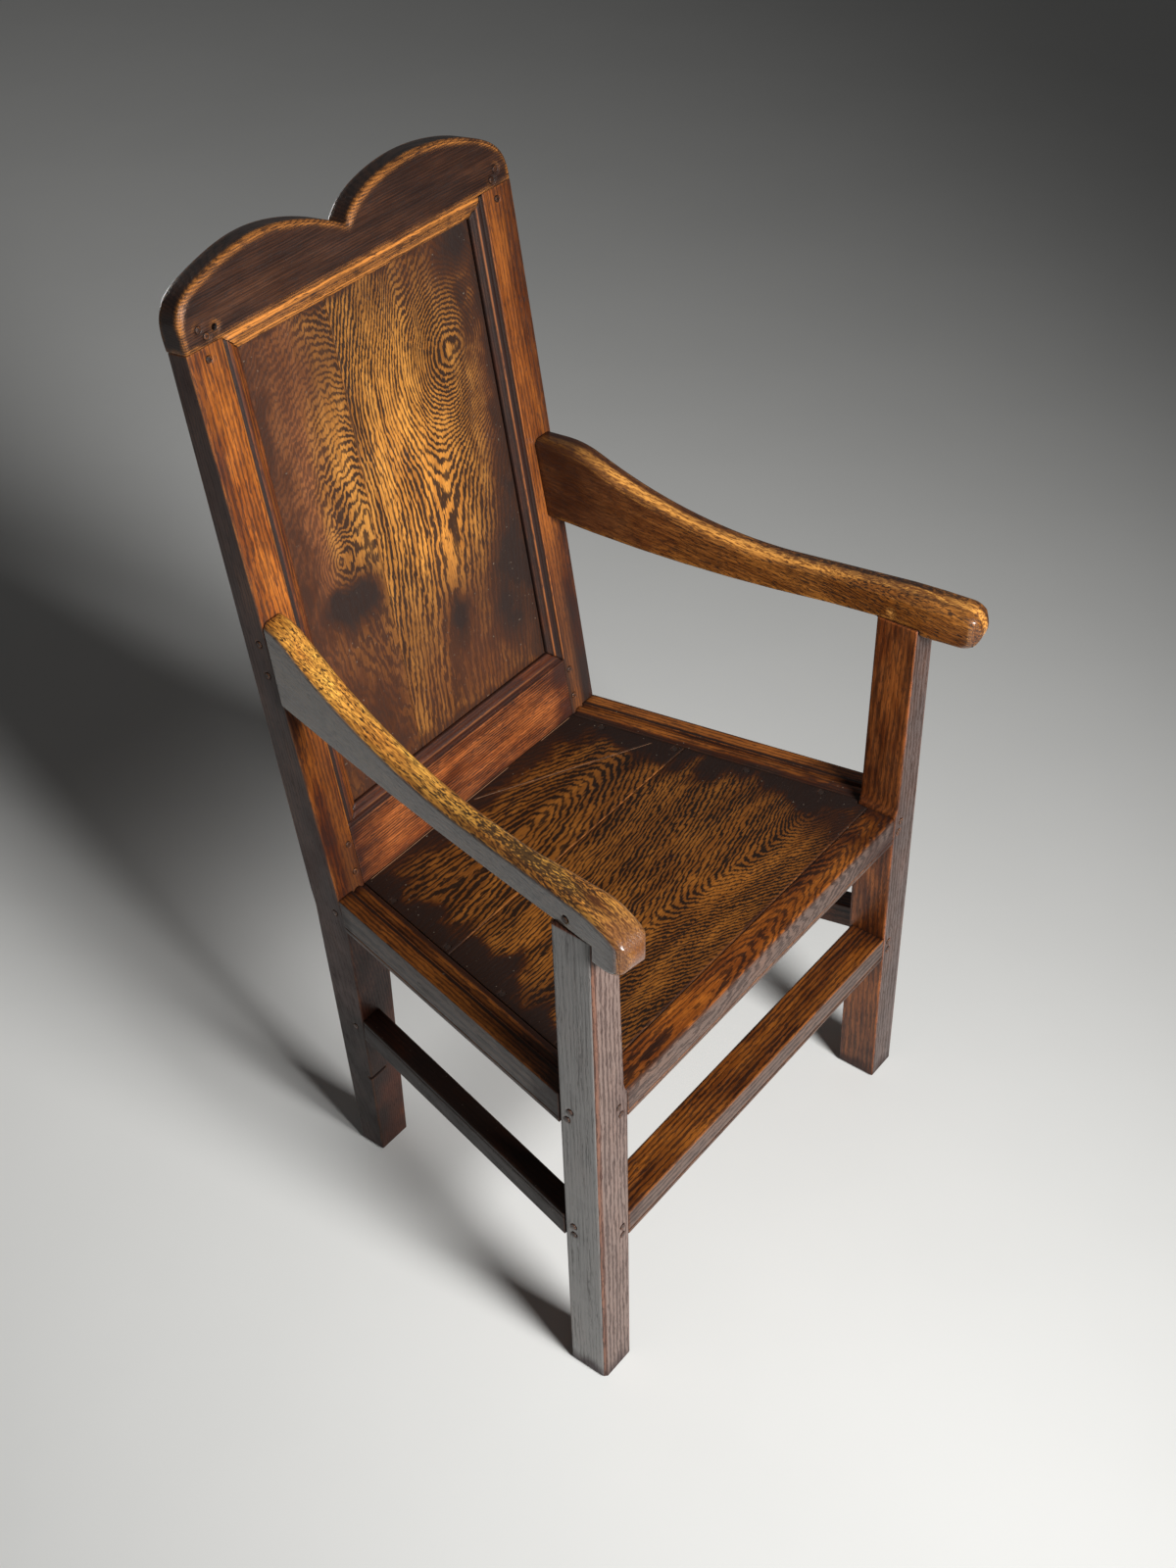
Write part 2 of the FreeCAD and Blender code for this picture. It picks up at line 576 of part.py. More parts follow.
def rear_post(side):
    """A rear leg and back stile, moulded and grooved on its inner edge for the panel."""
    post = rear_post_blank()
    through = Vector(0, PANEL_DEPTH + SHOULDER_GAP + OVERRUN, 0)
    lower, upper = mitre_outline(SHOULDER_GAP)
    laps = []
    for outline in (lower, upper):
        lap = flat_prism(outline, through)
        lap.translate(Vector(0, -OVERRUN, 0))
        laps.append(lean_back(lap))
    run = moulding_waste(Vector(FACE_EDGE, 0, BACK_RAIL_FACE), Vector(-1, 0, 0), Vector(0, 1, 0),
                         Vector(0, 0, SHOULDER_UP_BACK - BACK_RAIL_FACE))
    groove = panel_groove((STILE_INNER - OVERRUN, PANEL_BOTTOM - PANEL_GROOVE),
                          (STILE_INNER + PANEL_GROOVE, PANEL_TOP + PANEL_GROOVE))
    upright = [run, groove, back_rail_tenon(MORTISE_GAP)]
    upright += holes(back_rail_pegs_upright() + crest_pegs_upright())
    tenon = lean_back(crest_tenon().cut(holes(crest_pegs_upright())))
    cuts = laps + [lean_back(shape) for shape in upright]
    cuts += [tenon_box(MORTISE_GAP) for tenon_box in (side_rail_rear_tenon, side_stretcher_rear_tenon,
                                                      arm_rear_tenon)]
    cuts += holes(side_rail_rear_pegs() + side_stretcher_rear_pegs() + arm_rear_pegs())
    post = post.cut(cuts).fuse(tenon)
    if side == "left":
        outer = leg_half(NOTCH_HEIGHT) + OVERRUN
        y = leg_face_y(NOTCH_HEIGHT)
        post = post.cut(block((outer - OVERRUN - NOTCH_WIDTH, y - OVERRUN, NOTCH_HEIGHT),
                              (outer, y + NOTCH_DEPTH, NOTCH_HEIGHT + NOTCH_TALL)))
    return post.removeSplitter()


# Back


def crest_outline():
    """The two arches and the ends of the crest rail, upright, closed along the shoulder line."""
    def at(share):
        return Vector(share[0] * CREST_HALF, 0, SHOULDER_UP_BACK + share[1] * CREST_ARCH_HEIGHT)

    left = [at(share) for share in LEFT_ARCH_SHARES]
    right = [at(share) for share in RIGHT_ARCH_SHARES]
    low_left = Vector(-CREST_HALF, 0, SHOULDER_UP_BACK)
    low_right = Vector(CREST_HALF, 0, SHOULDER_UP_BACK)
    return [Part.makeLine(low_left, left[0]), smooth(left), smooth(right),
            Part.makeLine(right[-1], low_right), Part.makeLine(low_right, low_left)]


def crest_rail():
    """The double-arched head of the back, with its lower edge moulded and grooved over the panel."""
    crest = prism(crest_outline(), Vector(0, CREST_THICKNESS, 0))
    tops = [e for e in crest.Edges if e.Curve.TypeId == "Part::GeomBSplineCurve"]
    crest = crest.makeChamfer(CREST_TOP_EASE, tops)
    side = STILE_INNER - SHOULDER_GAP
    crest = crest.fuse(block((-side, 0, PANEL_TOP), (side, STILE_TOP_THICKNESS, SHOULDER_UP_BACK)))
    for sign in (-1, 1):
        lip = [Vector(sign * side, 0, PANEL_TOP), Vector(sign * FACE_EDGE, 0, SHOULDER_UP_BACK),
               Vector(sign * side, 0, SHOULDER_UP_BACK)]
        crest = crest.fuse(flat_prism(lip, Vector(0, PANEL_DEPTH, 0)))
    run = moulding_waste(Vector(-FACE_EDGE, 0, SHOULDER_UP_BACK), Vector(0, 0, -1), Vector(0, 1, 0),
                         Vector(FACE_EDGE + FACE_EDGE, 0, 0))
    groove = panel_groove((-STILE_INNER - OVERRUN, PANEL_TOP - OVERRUN),
                          (STILE_INNER + OVERRUN, PANEL_TOP + PANEL_GROOVE))
    mortises = [crest_tenon(MORTISE_GAP)] + holes(crest_pegs_upright())
    hole_place = Vector(-FACE_EDGE - OPEN_HOLE_INSET, 0, SHOULDER_UP_BACK + CREST_TENON / 2)
    open_hole = Part.makeCylinder(OPEN_HOLE_RADIUS, OPEN_HOLE_DEPTH, hole_place, Vector(0, 1, 0))
    cuts = [run, groove, open_hole] + mortises + [mirrored(shape) for shape in mortises]
    return lean_back(crest.cut(cuts).removeSplitter())


def lower_back_rail():
    """The deep rail at the seat: moulded under the panel, and grooved for the back of the seat."""
    side = STILE_INNER - SHOULDER_GAP
    low = -RAIL_DROP
    rail = block((-side, 0, low), (side, BACK_RAIL_THICKNESS, PANEL_BOTTOM))
    for sign in (-1, 1):
        lip = [Vector(sign * side, 0, low), Vector(sign * FACE_EDGE, 0, low),
               Vector(sign * FACE_EDGE, 0, BACK_RAIL_FACE), Vector(sign * side, 0, PANEL_BOTTOM)]
        rail = rail.fuse(flat_prism(lip, Vector(0, PANEL_DEPTH, 0)))
    rail = rail.fuse([back_rail_tenon(), mirrored(back_rail_tenon())])
    run = moulding_waste(Vector(-FACE_EDGE, 0, BACK_RAIL_FACE), Vector(0, 0, 1), Vector(0, 1, 0),
                         Vector(FACE_EDGE + FACE_EDGE, 0, 0))
    groove = panel_groove((-STILE_INNER - OVERRUN, PANEL_BOTTOM - PANEL_GROOVE),
                          (STILE_INNER + OVERRUN, PANEL_BOTTOM + OVERRUN))
    peg_holes = holes(back_rail_pegs_upright())
    rail = rail.cut([run, groove] + peg_holes + [mirrored(shape) for shape in peg_holes])
    rail = lean_back(rail.removeSplitter())
    seat_slot = block((-FACE_EDGE - OVERRUN, SEAT_DEPTH - OVERRUN, BOARD_UNDER),
                      (FACE_EDGE + OVERRUN, SEAT_DEPTH + SEAT_TONGUE, SEAT_HEIGHT), MORTISE_GAP)
    return rail.cut(seat_slot).removeSplitter()


def back_panel_board(side):
    """One of the two upright boards of the panel, let into the grooves all round."""
    reach = PANEL_GROOVE - MORTISE_GAP
    low = PANEL_BOTTOM - reach
    high = PANEL_TOP + reach
    edge = SIDES[side] * (STILE_INNER + reach)
    gap = SIDES[side] * BOARD_GAP / 2
    outline = [(edge, low), (edge, high), (gap - PANEL_SEAM_TOP, high), (gap - PANEL_SEAM_BOTTOM, low)]
    board = flat_prism([Vector(x, PANEL_DEPTH, z) for x, z in outline], Vector(0, PANEL_THICKNESS, 0))
    return lean_back(board)


# Seat


def front_seat_rail():
    """The rail under the sitter's knees: rounded at its front edge and rebated for the seat."""
    half = FRONT_HALF - FRONT_POST_WIDTH - SHOULDER_GAP
    turn = FRONT_RAIL_ROUND * (1 - math.cos(EIGHTH_TURN))
    start = Vector(-half, 0, SEAT_HEIGHT - FRONT_RAIL_ROUND)
    crown = Vector(-half, turn, SEAT_HEIGHT - turn)
    end = Vector(-half, FRONT_RAIL_ROUND, SEAT_HEIGHT)
    back = [(FRONT_RAIL_TOP_WIDTH, SEAT_HEIGHT), (FRONT_RAIL_TOP_WIDTH, BOARD_UNDER),
            (FRONT_RAIL_WIDTH, BOARD_UNDER), (FRONT_RAIL_WIDTH, RAIL_BOTTOM), (0, RAIL_BOTTOM)]
    points = [end] + [Vector(-half, y, z) for y, z in back] + [start]
    lines = [Part.makeLine(a, b) for a, b in zip(points, points[1:])]
    rail = prism(lines + [Part.Arc(start, crown, end).toShape()], Vector(half + half, 0, 0))
    rail = rail.fuse([front_rail_tenon(), mirrored(front_rail_tenon())])
    scratch = scratch_line(Vector(-half, 0, RAIL_BOTTOM + SCRATCH_UP), Vector(half + half, 0, 0),
                           Vector(0, 0, 1), Vector(0, -1, 0))
    peg_holes = holes(front_rail_pegs())
    return rail.cut([scratch] + peg_holes + [mirrored(shape) for shape in peg_holes]).removeSplitter()


def behind_back_face():
    """The space behind the leaning face of the back, to square off what butts against it."""
    wide = FRONT_WIDTH
    tall = SEAT_HEIGHT + SEAT_HEIGHT
    return lean_back(block((-wide, -SHOULDER_GAP, -tall), (wide, SEAT_DEPTH, tall)))


def side_axes():
    """Along a right-hand side rail from front to back, and square inwards from its outer face."""
    along = Vector(-math.sin(SIDE_ANGLE), math.cos(SIDE_ANGLE), 0)
    inward = Vector(-math.cos(SIDE_ANGLE), -math.sin(SIDE_ANGLE), 0)
    return along, inward


def side_seat_rail():
    """A rail between the front and rear posts: moulded on its inner edge, rebated for the seat."""
    along, inward = side_axes()
    start = Vector(FRONT_HALF, FRONT_POST_DEPTH, 0) - along * OVERRUN
    length = along * (SEAT_DEPTH + OVERRUN)
    band = SIDE_RAIL_BAND
    section = [(0, RAIL_BOTTOM), (0, SIDE_RAIL_TOP), (band, SIDE_RAIL_TOP), (band, BOARD_UNDER),
               (band + SEAT_LEDGE, BOARD_UNDER), (band + SEAT_LEDGE, RAIL_BOTTOM)]
    rail = flat_prism([start + inward * t + Vector(0, 0, z) for t, z in section], length)
    top_edge = start + inward * SIDE_RAIL_FLAT + Vector(0, 0, SIDE_RAIL_TOP)
    run = moulding_waste(top_edge, inward, Vector(0, 0, -1), length)
    scratch = scratch_line(start + Vector(0, 0, RAIL_BOTTOM + SCRATCH_UP), length, Vector(0, 0, 1), -inward)
    front = block((0, -OVERRUN, 0), (FRONT_WIDTH, FRONT_POST_DEPTH + SHOULDER_GAP, SEAT_HEIGHT + OVERRUN))
    rail = rail.cut([run, scratch, front, behind_back_face()])
    rail = rail.fuse([side_rail_front_tenon(), side_rail_rear_tenon()])
    return rail.cut(holes(side_rail_front_pegs() + side_rail_rear_pegs()) + nail_holes()).removeSplitter()


def seat_edge(y):
    """How far out the seat boards reach at a place between front and back."""
    band = (SIDE_RAIL_BAND + SEAT_EDGE_GAP) / math.cos(SIDE_ANGLE)
    return side_line(y) - band


def seat_board_front():
    """The wide front board, notched round the front posts."""
    y0 = FRONT_RAIL_TOP_WIDTH + BOARD_GAP
    y1 = FRONT_POST_DEPTH + SEAT_EDGE_GAP
    y2 = SEAT_JOINT_Y - BOARD_GAP / 2
    post = FRONT_HALF - FRONT_POST_WIDTH - SEAT_EDGE_GAP
    right = [(post, y0), (post, y1), (seat_edge(y1), y1), (seat_edge(y2), y2)]
    outline = right + [(-x, y) for x, y in reversed(right)]
    board = flat_prism([Vector(x, y, BOARD_UNDER) for x, y in outline], Vector(0, 0, SEAT_BOARD))
    return board.cut(nail_holes() + [mirrored(hole) for hole in nail_holes()])


def seat_board_rear():
    """The rear board, whose back edge runs into the groove of the lower back rail."""
    y0 = SEAT_JOINT_Y + BOARD_GAP / 2
    y1 = face_y(BOARD_UNDER) - SHOULDER_GAP
    y2 = SEAT_DEPTH + SEAT_TONGUE - MORTISE_GAP
    right = [(seat_edge(y0), y0), (seat_edge(y1), y1), (seat_edge(y1), y2)]
    outline = right + [(-x, y) for x, y in reversed(right)]
    board = flat_prism([Vector(x, y, BOARD_UNDER) for x, y in outline], Vector(0, 0, SEAT_BOARD))
    return board.cut(nail_holes() + [mirrored(hole) for hole in nail_holes()] + [drying_split()])


def drying_split():
    """A fine open split that runs slantwise over the rear seat board, as a V cut."""
    start, end = [Vector(REAR_HALF * x, SEAT_DEPTH * y, SEAT_HEIGHT)
                  for x, y in (SPLIT_RIGHT_SHARES, SPLIT_LEFT_SHARES)]
    along = end - start
    half = Vector(-along.y, along.x, 0).normalize() * (SPLIT_WIDTH / 2)
    up = Vector(0, 0, SPLIT_DEPTH)
    return flat_prism([start - half + up, start - half, start - up, start + half, start + half + up], along)


# Stretchers


def front_stretcher():
    """The broad low rail between the front posts."""
    half = FRONT_HALF - FRONT_POST_WIDTH - SHOULDER_GAP
    low = FRONT_STRETCHER_TOP - FRONT_STRETCHER_HEIGHT
    right = [(half + stretcher_reach(z), z) for z in (low, FRONT_STRETCHER_TOP)]
    outline = right + [(-x, z) for x, z in reversed(right)]
    stretcher = flat_prism([Vector(x, 0, z) for x, z in outline], Vector(0, FRONT_STRETCHER_WIDTH, 0))
    stretcher = stretcher.fuse([front_stretcher_tenon(), mirrored(front_stretcher_tenon())])
    scratch = scratch_line(Vector(-FRONT_HALF, 0, low + SCRATCH_UP), Vector(FRONT_WIDTH, 0, 0),
                           Vector(0, 0, 1), Vector(0, -1, 0))
    peg_holes = holes(front_stretcher_pegs())
    return stretcher.cut([scratch] + peg_holes + [mirrored(shape) for shape in peg_holes]).removeSplitter()


def stretcher_reach(height):
    """How much further the tapering front leg lets a stretcher reach, at a height."""
    return (FRONT_POST_WIDTH - FRONT_FOOT_WIDTH) * (1 - height / RAIL_BOTTOM)


def side_stretcher():
    """A low rail between the front post and the rear leg, falling a little to the back."""
    front_y = FRONT_POST_DEPTH + SHOULDER_GAP
    rear_z = SIDE_STRETCHER_REAR_TOP - SIDE_STRETCHER_HEIGHT / 2
    rear_y = leg_face_y(rear_z) - SHOULDER_GAP
    front_top = SIDE_STRETCHER_FRONT_TOP
    rear_x = leg_half(rear_z)
    angle = math.atan2(FRONT_HALF - rear_x, rear_y - front_y)
    width = SIDE_STRETCHER_WIDTH / math.cos(angle)
    side_view = [Vector(0, front_y, front_top - SIDE_STRETCHER_HEIGHT), Vector(0, front_y, front_top),
                 Vector(0, leg_face_y(SIDE_STRETCHER_REAR_TOP) - SHOULDER_GAP, SIDE_STRETCHER_REAR_TOP),
                 Vector(0, leg_face_y(SIDE_STRETCHER_REAR_TOP - SIDE_STRETCHER_HEIGHT) - SHOULDER_GAP,
                        SIDE_STRETCHER_REAR_TOP - SIDE_STRETCHER_HEIGHT)]
    slab = flat_prism(side_view, Vector(FRONT_HALF + OVERRUN, 0, 0))
    plan = [Vector(FRONT_HALF, front_y, 0), Vector(rear_x, rear_y, 0)]
    run = plan[1] - plan[0]
    outer = [plan[0] - run, plan[1] + run]
    inner = [point - Vector(width, 0, 0) for point in reversed(outer)]
    stretcher = slab.common(flat_prism(outer + inner, Vector(0, 0, SEAT_HEIGHT)))
    fall = SIDE_STRETCHER_REAR_TOP - SIDE_STRETCHER_FRONT_TOP
    out = Vector(math.cos(angle), math.sin(angle), 0)
    scratch = scratch_line(Vector(FRONT_HALF, front_y, front_top - SCRATCH_UP), run + Vector(0, 0, fall),
                           Vector(0, 0, 1), out)
    stretcher = stretcher.cut(scratch)
    stretcher = stretcher.fuse([side_stretcher_front_tenon(), side_stretcher_rear_tenon()])
    return stretcher.cut(holes(side_stretcher_front_pegs() + side_stretcher_rear_pegs())).removeSplitter()


# Arms


def arm_outer(y):
    """Outer face of the arm, from the middle of the chair."""
    rear_y = face_y(SEAT_HEIGHT + ARM_REAR_ABOVE_SEAT)
    front_x = FRONT_HALF + ARM_OVERHANG
    rear_x = stile_half(SEAT_HEIGHT + ARM_REAR_ABOVE_SEAT)
    return front_x + (rear_x - front_x) * y / rear_y


def arm_angle():
    """How far the arm turns inwards to the back, seen from above."""
    rear_y = face_y(SEAT_HEIGHT + ARM_REAR_ABOVE_SEAT)
    return math.atan2(arm_outer(0) - arm_outer(rear_y), rear_y)


def arm_length():
    """From the front of the post to the face of the back, along the arm."""
    return face_y(SEAT_HEIGHT + ARM_REAR_ABOVE_SEAT) / math.cos(arm_angle())


def on_arc(centre, radius, angle):
    """A point on a circle seen from the side, at an angle from its crown towards the front."""
    return centre + Vector(0, -radius * math.sin(angle), radius * math.cos(angle))


def arm_top_line(side):
    """The top of the arm from back to front: a shoulder, a long sweep, a flat and the rounded nose."""
    length = arm_length()
    rear_top = SEAT_HEIGHT + ARM_REAR_ABOVE_SEAT
    seat = SEAT_HEIGHT + ARM_SHOULDER_ABOVE_SEAT[side]
    front_top = seat + ARM_FRONT_DEPTH
    shoulder = ARM_SHOULDER_RADIUS[side]
    radius = ARM_NOSE_RADIUS[side]
    start = length - ARM_SHOULDER_FLAT[side]
    low = Vector(0, length * (1 - ARM_SWEEP_SHARE), front_top - ARM_DIP[side])
    run = start - low.y
    fall = rear_top - low.z
    both = (run * run + fall * fall) / (fall + fall)
    sweep = both - shoulder
    turn = math.atan2(run, both - fall)
    shoulder_centre = Vector(0, start, rear_top - shoulder)
    sweep_centre = low + Vector(0, 0, sweep)
    nose = Vector(0, radius - ARM_NOSE_REACH[side], seat + ARM_NOSE_LIFT[side])
    crown = Vector(0, FRONT_POST_DEPTH / 2, front_top)
    rise = crown.z - nose.z
    reach = crown.y - nose.y
    brow = (reach * reach + rise * rise - radius ** 2) / (2 * (rise - radius))
    brow_centre = crown - Vector(0, 0, brow)
    brow_turn = math.atan2(reach, nose.z - brow_centre.z)
    points = [Vector(0, length + OVERRUN, rear_top), Vector(0, start, rear_top),
              on_arc(shoulder_centre, shoulder, turn), low, crown,
              on_arc(nose, radius, brow_turn), on_arc(nose, radius, math.pi),
              Vector(0, OVERRUN, nose.z - radius)]
    middles = [None, on_arc(shoulder_centre, shoulder, turn / 2),
               on_arc(sweep_centre, sweep, math.pi + turn / 2), None,
               on_arc(brow_centre, brow, brow_turn / 2),
               on_arc(nose, radius, (brow_turn + math.pi) / 2), None]
    return [Part.Arc(a, middle, b).toShape() if middle else Part.makeLine(a, b)
            for a, middle, b in zip(points, middles, points[1:])]


def arm_side_view(side):
    """The sawn outline of the arm seen from outside, open where it sits on the post."""
    length = arm_length()
    top = arm_top_line(side)
    rear_low = SEAT_HEIGHT + ARM_REAR_ABOVE_SEAT - ARM_REAR_DEPTH
    seat = SEAT_HEIGHT + ARM_SHOULDER_ABOVE_SEAT[side] + SHOULDER_GAP
    middle = Vector(0, length * (1 - ARM_UNDERSIDE_PLACE_SHARE), rear_low - ARM_UNDERSIDE_SINK)
    behind = Vector(0, FRONT_POST_DEPTH, seat)
    under = Vector(0, length, rear_low)
    end = under + Vector(0, OVERRUN, 0)
    beak = top[-1].Vertexes[-1].Point
    notch = Vector(0, beak.y, seat)
    return top + [Part.makeLine(beak, notch), Part.makeLine(notch, behind),
                  Part.Arc(behind, middle, under).toShape(), Part.makeLine(under, end),
                  Part.makeLine(end, top[0].Vertexes[0].Point)]


def arm_plan(side):
    """The arm from above: straight outside, drawn in at the waist inside and wider over the post."""
    back = arm_length() + OVERRUN
    front = -ARM_NOSE_REACH[side] - OVERRUN
    nose = Vector(-ARM_FRONT_WIDTH, front, 0)
    neck = Vector(-ARM_FRONT_WIDTH, 0, 0)
    waist = Vector(-ARM_WAIST_WIDTH, arm_length() * (1 - ARM_WAIST_SHARE), 0)
    rear = Vector(-ARM_REAR_WIDTH, back, 0)
    neck_arc = turned(nose, neck, waist, ARM_NECK_RADIUS)
    waist_arc = turned(neck, waist, rear, ARM_WAIST_RADIUS)
    path = [rear, Vector(0, back, 0), Vector(0, front, 0), nose, neck_arc[0]]
    lines = [Part.makeLine(a, b) for a, b in zip(path, path[1:])]
    lines += [Part.Arc(*neck_arc).toShape(), Part.makeLine(neck_arc[-1], waist_arc[0]),
              Part.Arc(*waist_arc).toShape(), Part.makeLine(waist_arc[-1], rear)]
    return prism(lines, Vector(0, 0, SEAT_HEIGHT + SEAT_HEIGHT))


def nose_corners(side):
    """What comes off the two upright corners of the nose."""
    front = -ARM_NOSE_REACH[side] - OVERRUN
    size = ARM_NOSE_CORNER + OVERRUN + OVERRUN
    made = []
    for x, way in ((OVERRUN, -1), (-ARM_FRONT_WIDTH - OVERRUN, 1)):
        corner = Vector(x, front, 0)
        points = [corner, corner + Vector(way * size, 0, 0), corner + Vector(0, size, 0), corner]
        lines = [Part.makeLine(a, b) for a, b in zip(points, points[1:])]
        made.append(prism(lines, Vector(0, 0, SEAT_HEIGHT + SEAT_HEIGHT)))
    return made


def edges_along(shape, line):
    """The edges of a shape that, seen from the side, run along a line."""
    def follows(edge):
        span = edge.LastParameter - edge.FirstParameter
        points = [edge.valueAt(edge.FirstParameter + span * share) for share in PROBE_SHARES]
        flat = [Vector(0, point.y, point.z) for point in points]
        if flat[0].distanceToPoint(flat[1]) < MORTISE_GAP:
            return False
        return all(line.distToShape(Part.Vertex(point))[0] < MORTISE_GAP / 2 for point in flat)

    return [edge for edge in shape.Edges if follows(edge)]


def arm(side):
    """An arm: sawn to its side view and its plan, bevelled over its top and nose, tenoned at the rear."""
    width = ARM_FRONT_WIDTH + OVERRUN
    line = Part.Wire(arm_top_line(side))
    blank = prism(arm_side_view(side), Vector(-width, 0, 0)).common(arm_plan(side)).Solids[0]
    blank = blank.makeChamfer(ARM_BEVEL, edges_along(blank, line)).cut(nose_corners(side))
    blank.rotate(Vector(0, 0, 0), Vector(0, 0, 1), math.degrees(arm_angle()))
    blank.translate(Vector(arm_outer(0), 0, 0))
    seat = SEAT_HEIGHT + ARM_SHOULDER_ABOVE_SEAT[side]
    post = block((0, 0, SEAT_HEIGHT), (FRONT_WIDTH, FRONT_POST_DEPTH, seat), SHOULDER_GAP)
    made = blank.cut([behind_back_face(), post, post_tenon(side, MORTISE_GAP)]).fuse(arm_rear_tenon())
    return made.cut(holes(arm_post_pegs(side) + arm_rear_pegs())).removeSplitter()


# Pegs and nails


def nail_places():
    """Where the seat boards are nailed down to the side rails, on the right-hand side."""
    y0 = FRONT_POST_DEPTH
    made = []
    for share in NAIL_SHARES:
        y = y0 + (SEAT_DEPTH - y0) * share
        made.append(Vector(seat_edge(y) - NAIL_EDGE, y, SEAT_HEIGHT))
    return made


def square_bar(place, side, low, high):
    """An upright square bar round a place, between two heights above it."""
    half = side / 2
    return block((place.x - half, place.y - half, place.z + low),
                 (place.x + half, place.y + half, place.z + high))


def nail_holes():
    """Holes for the shanks of the nails and the places of their heads, right-hand side."""
    shank = NAIL_SHANK + PEG_GAP + PEG_GAP
    head = NAIL_HEAD + PEG_GAP + PEG_GAP
    made = []
    for place in nail_places():
        made.append(square_bar(place, shank, -NAIL_LENGTH - PEG_GAP, OVERRUN))
        made.append(square_bar(place, head, -NAIL_HEAD_HEIGHT - PEG_GAP, OVERRUN))
    return made


def nail(place):
    """A wrought nail: a square shank under a flat head with its corners off, driven level with the seat."""
    head = square_bar(place, NAIL_HEAD, -NAIL_HEAD_HEIGHT, 0)
    corners = [e for e in head.Edges if abs(e.Vertexes[0].Z - e.Vertexes[1].Z) > NAIL_HEAD_HEIGHT / 2]
    head = head.makeChamfer(NAIL_CORNER, corners)
    return square_bar(place, NAIL_SHANK, -NAIL_LENGTH, -NAIL_HEAD_HEIGHT).fuse(head)


def both_sides(solids):
    """A group of like solids and the same ones for the other side of the chair."""
    return Part.makeCompound(solids + [mirrored(solid) for solid in solids])


def pegs(places):
    """A riven peg for each place in a list, standing a little proud of the face."""
    return [eight_sided(centre - direction * PEG_PROUD, direction, PEG_RADIUS, length + PEG_PROUD)
            for centre, direction, length in places]


def arm_pegs():
    """The pegs of both arms: the left arm sits lower on its post than the right one."""
    left = [mirrored(solid) for solid in pegs(arm_post_pegs("left"))]
    rear = pegs(arm_rear_pegs())
    right = pegs(arm_post_pegs("right"))
    return Part.makeCompound(left + right + rear + [mirrored(solid) for solid in rear])


def all_pieces():
    """Every piece of the chair by name, still drawn from the front faces of the front posts."""
    seat_rail_pegs = front_rail_pegs() + side_rail_front_pegs() + side_rail_rear_pegs()
    stretcher_pegs = front_stretcher_pegs() + side_stretcher_front_pegs() + side_stretcher_rear_pegs()
    return {
        "front_post_left": mirrored(front_post("left")),
        "front_post_right": front_post("right"),
        "rear_post_left": mirrored(rear_post("left")),
        "rear_post_right": rear_post("right"),
        "crest_rail": crest_rail(),
        "lower_back_rail": lower_back_rail(),
        "back_panel_left_board": back_panel_board("left"),
        "back_panel_right_board": back_panel_board("right"),
        "front_seat_rail": front_seat_rail(),
        "side_seat_rail_left": mirrored(side_seat_rail()),
        "side_seat_rail_right": side_seat_rail(),
        "seat_board_front": seat_board_front(),
        "seat_board_rear": seat_board_rear(),
        "front_stretcher": front_stretcher(),
        "side_stretcher_left": mirrored(side_stretcher()),
        "side_stretcher_right": side_stretcher(),
        "arm_left": mirrored(arm("left")),
        "arm_right": arm("right"),
        "crest_pegs": both_sides([lean_back(solid) for solid in pegs(crest_pegs_upright())]),
        "back_rail_pegs": both_sides([lean_back(solid) for solid in pegs(back_rail_pegs_upright())]),
        "seat_rail_pegs": both_sides(pegs(seat_rail_pegs)),
        "stretcher_pegs": both_sides(pegs(stretcher_pegs)),
        "arm_pegs": arm_pegs(),
        "seat_nails": both_sides([nail(place) for place in nail_places()]),
    }


if __name__ == "__main__":
    os.makedirs("parts", exist_ok=True)
    pieces = all_pieces()
    box = Part.makeCompound(list(pieces.values())).optimalBoundingBox()
    to_origin = Vector(0, -(box.YMin + box.YMax) / 2, 0)
    for name, shape in pieces.items():
        shape.translate(to_origin)
        shape.exportStep("parts/" + name + ".step")
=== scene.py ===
"""Looks of the oak panel-back armchair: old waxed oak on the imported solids, a pale floor and soft light.

Metres, +Z up, -Y out of the front of the seat, +X to the right as seen from the front. Shader maths is in
millimetres. Left and right are as seen from the front.
"""

import logging
import math
from dataclasses import dataclass, replace
from enum import Enum

import bpy
from mathutils import Matrix, Vector


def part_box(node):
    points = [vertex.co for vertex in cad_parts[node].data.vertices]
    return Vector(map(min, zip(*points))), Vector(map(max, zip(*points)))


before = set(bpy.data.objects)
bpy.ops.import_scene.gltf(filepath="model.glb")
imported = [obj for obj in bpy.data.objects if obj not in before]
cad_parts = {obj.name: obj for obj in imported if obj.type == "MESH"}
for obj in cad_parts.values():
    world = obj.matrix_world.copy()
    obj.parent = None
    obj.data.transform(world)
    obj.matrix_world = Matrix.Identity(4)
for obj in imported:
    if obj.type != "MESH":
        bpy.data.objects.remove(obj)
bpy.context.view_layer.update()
LOG = logging.getLogger("armchair")

Tone = tuple[float, float, float, float]
Socket = bpy.types.NodeSocket

MILLI = 1000.0
UP = Vector((0.0, 0.0, 1.0))
ACROSS = Vector((1.0, 0.0, 0.0))
BACKWARDS = Vector((0.0, 1.0, 0.0))
WHITE: Tone = (1.0, 1.0, 1.0, 1.0)
# Easing the arrises: what counts as one point, in metres, as one plane and as an arris
SAME_PLACE = 0.00001
SAME_PLANE = math.radians(1.0)
ARRIS_ANGLE = math.radians(32.0)


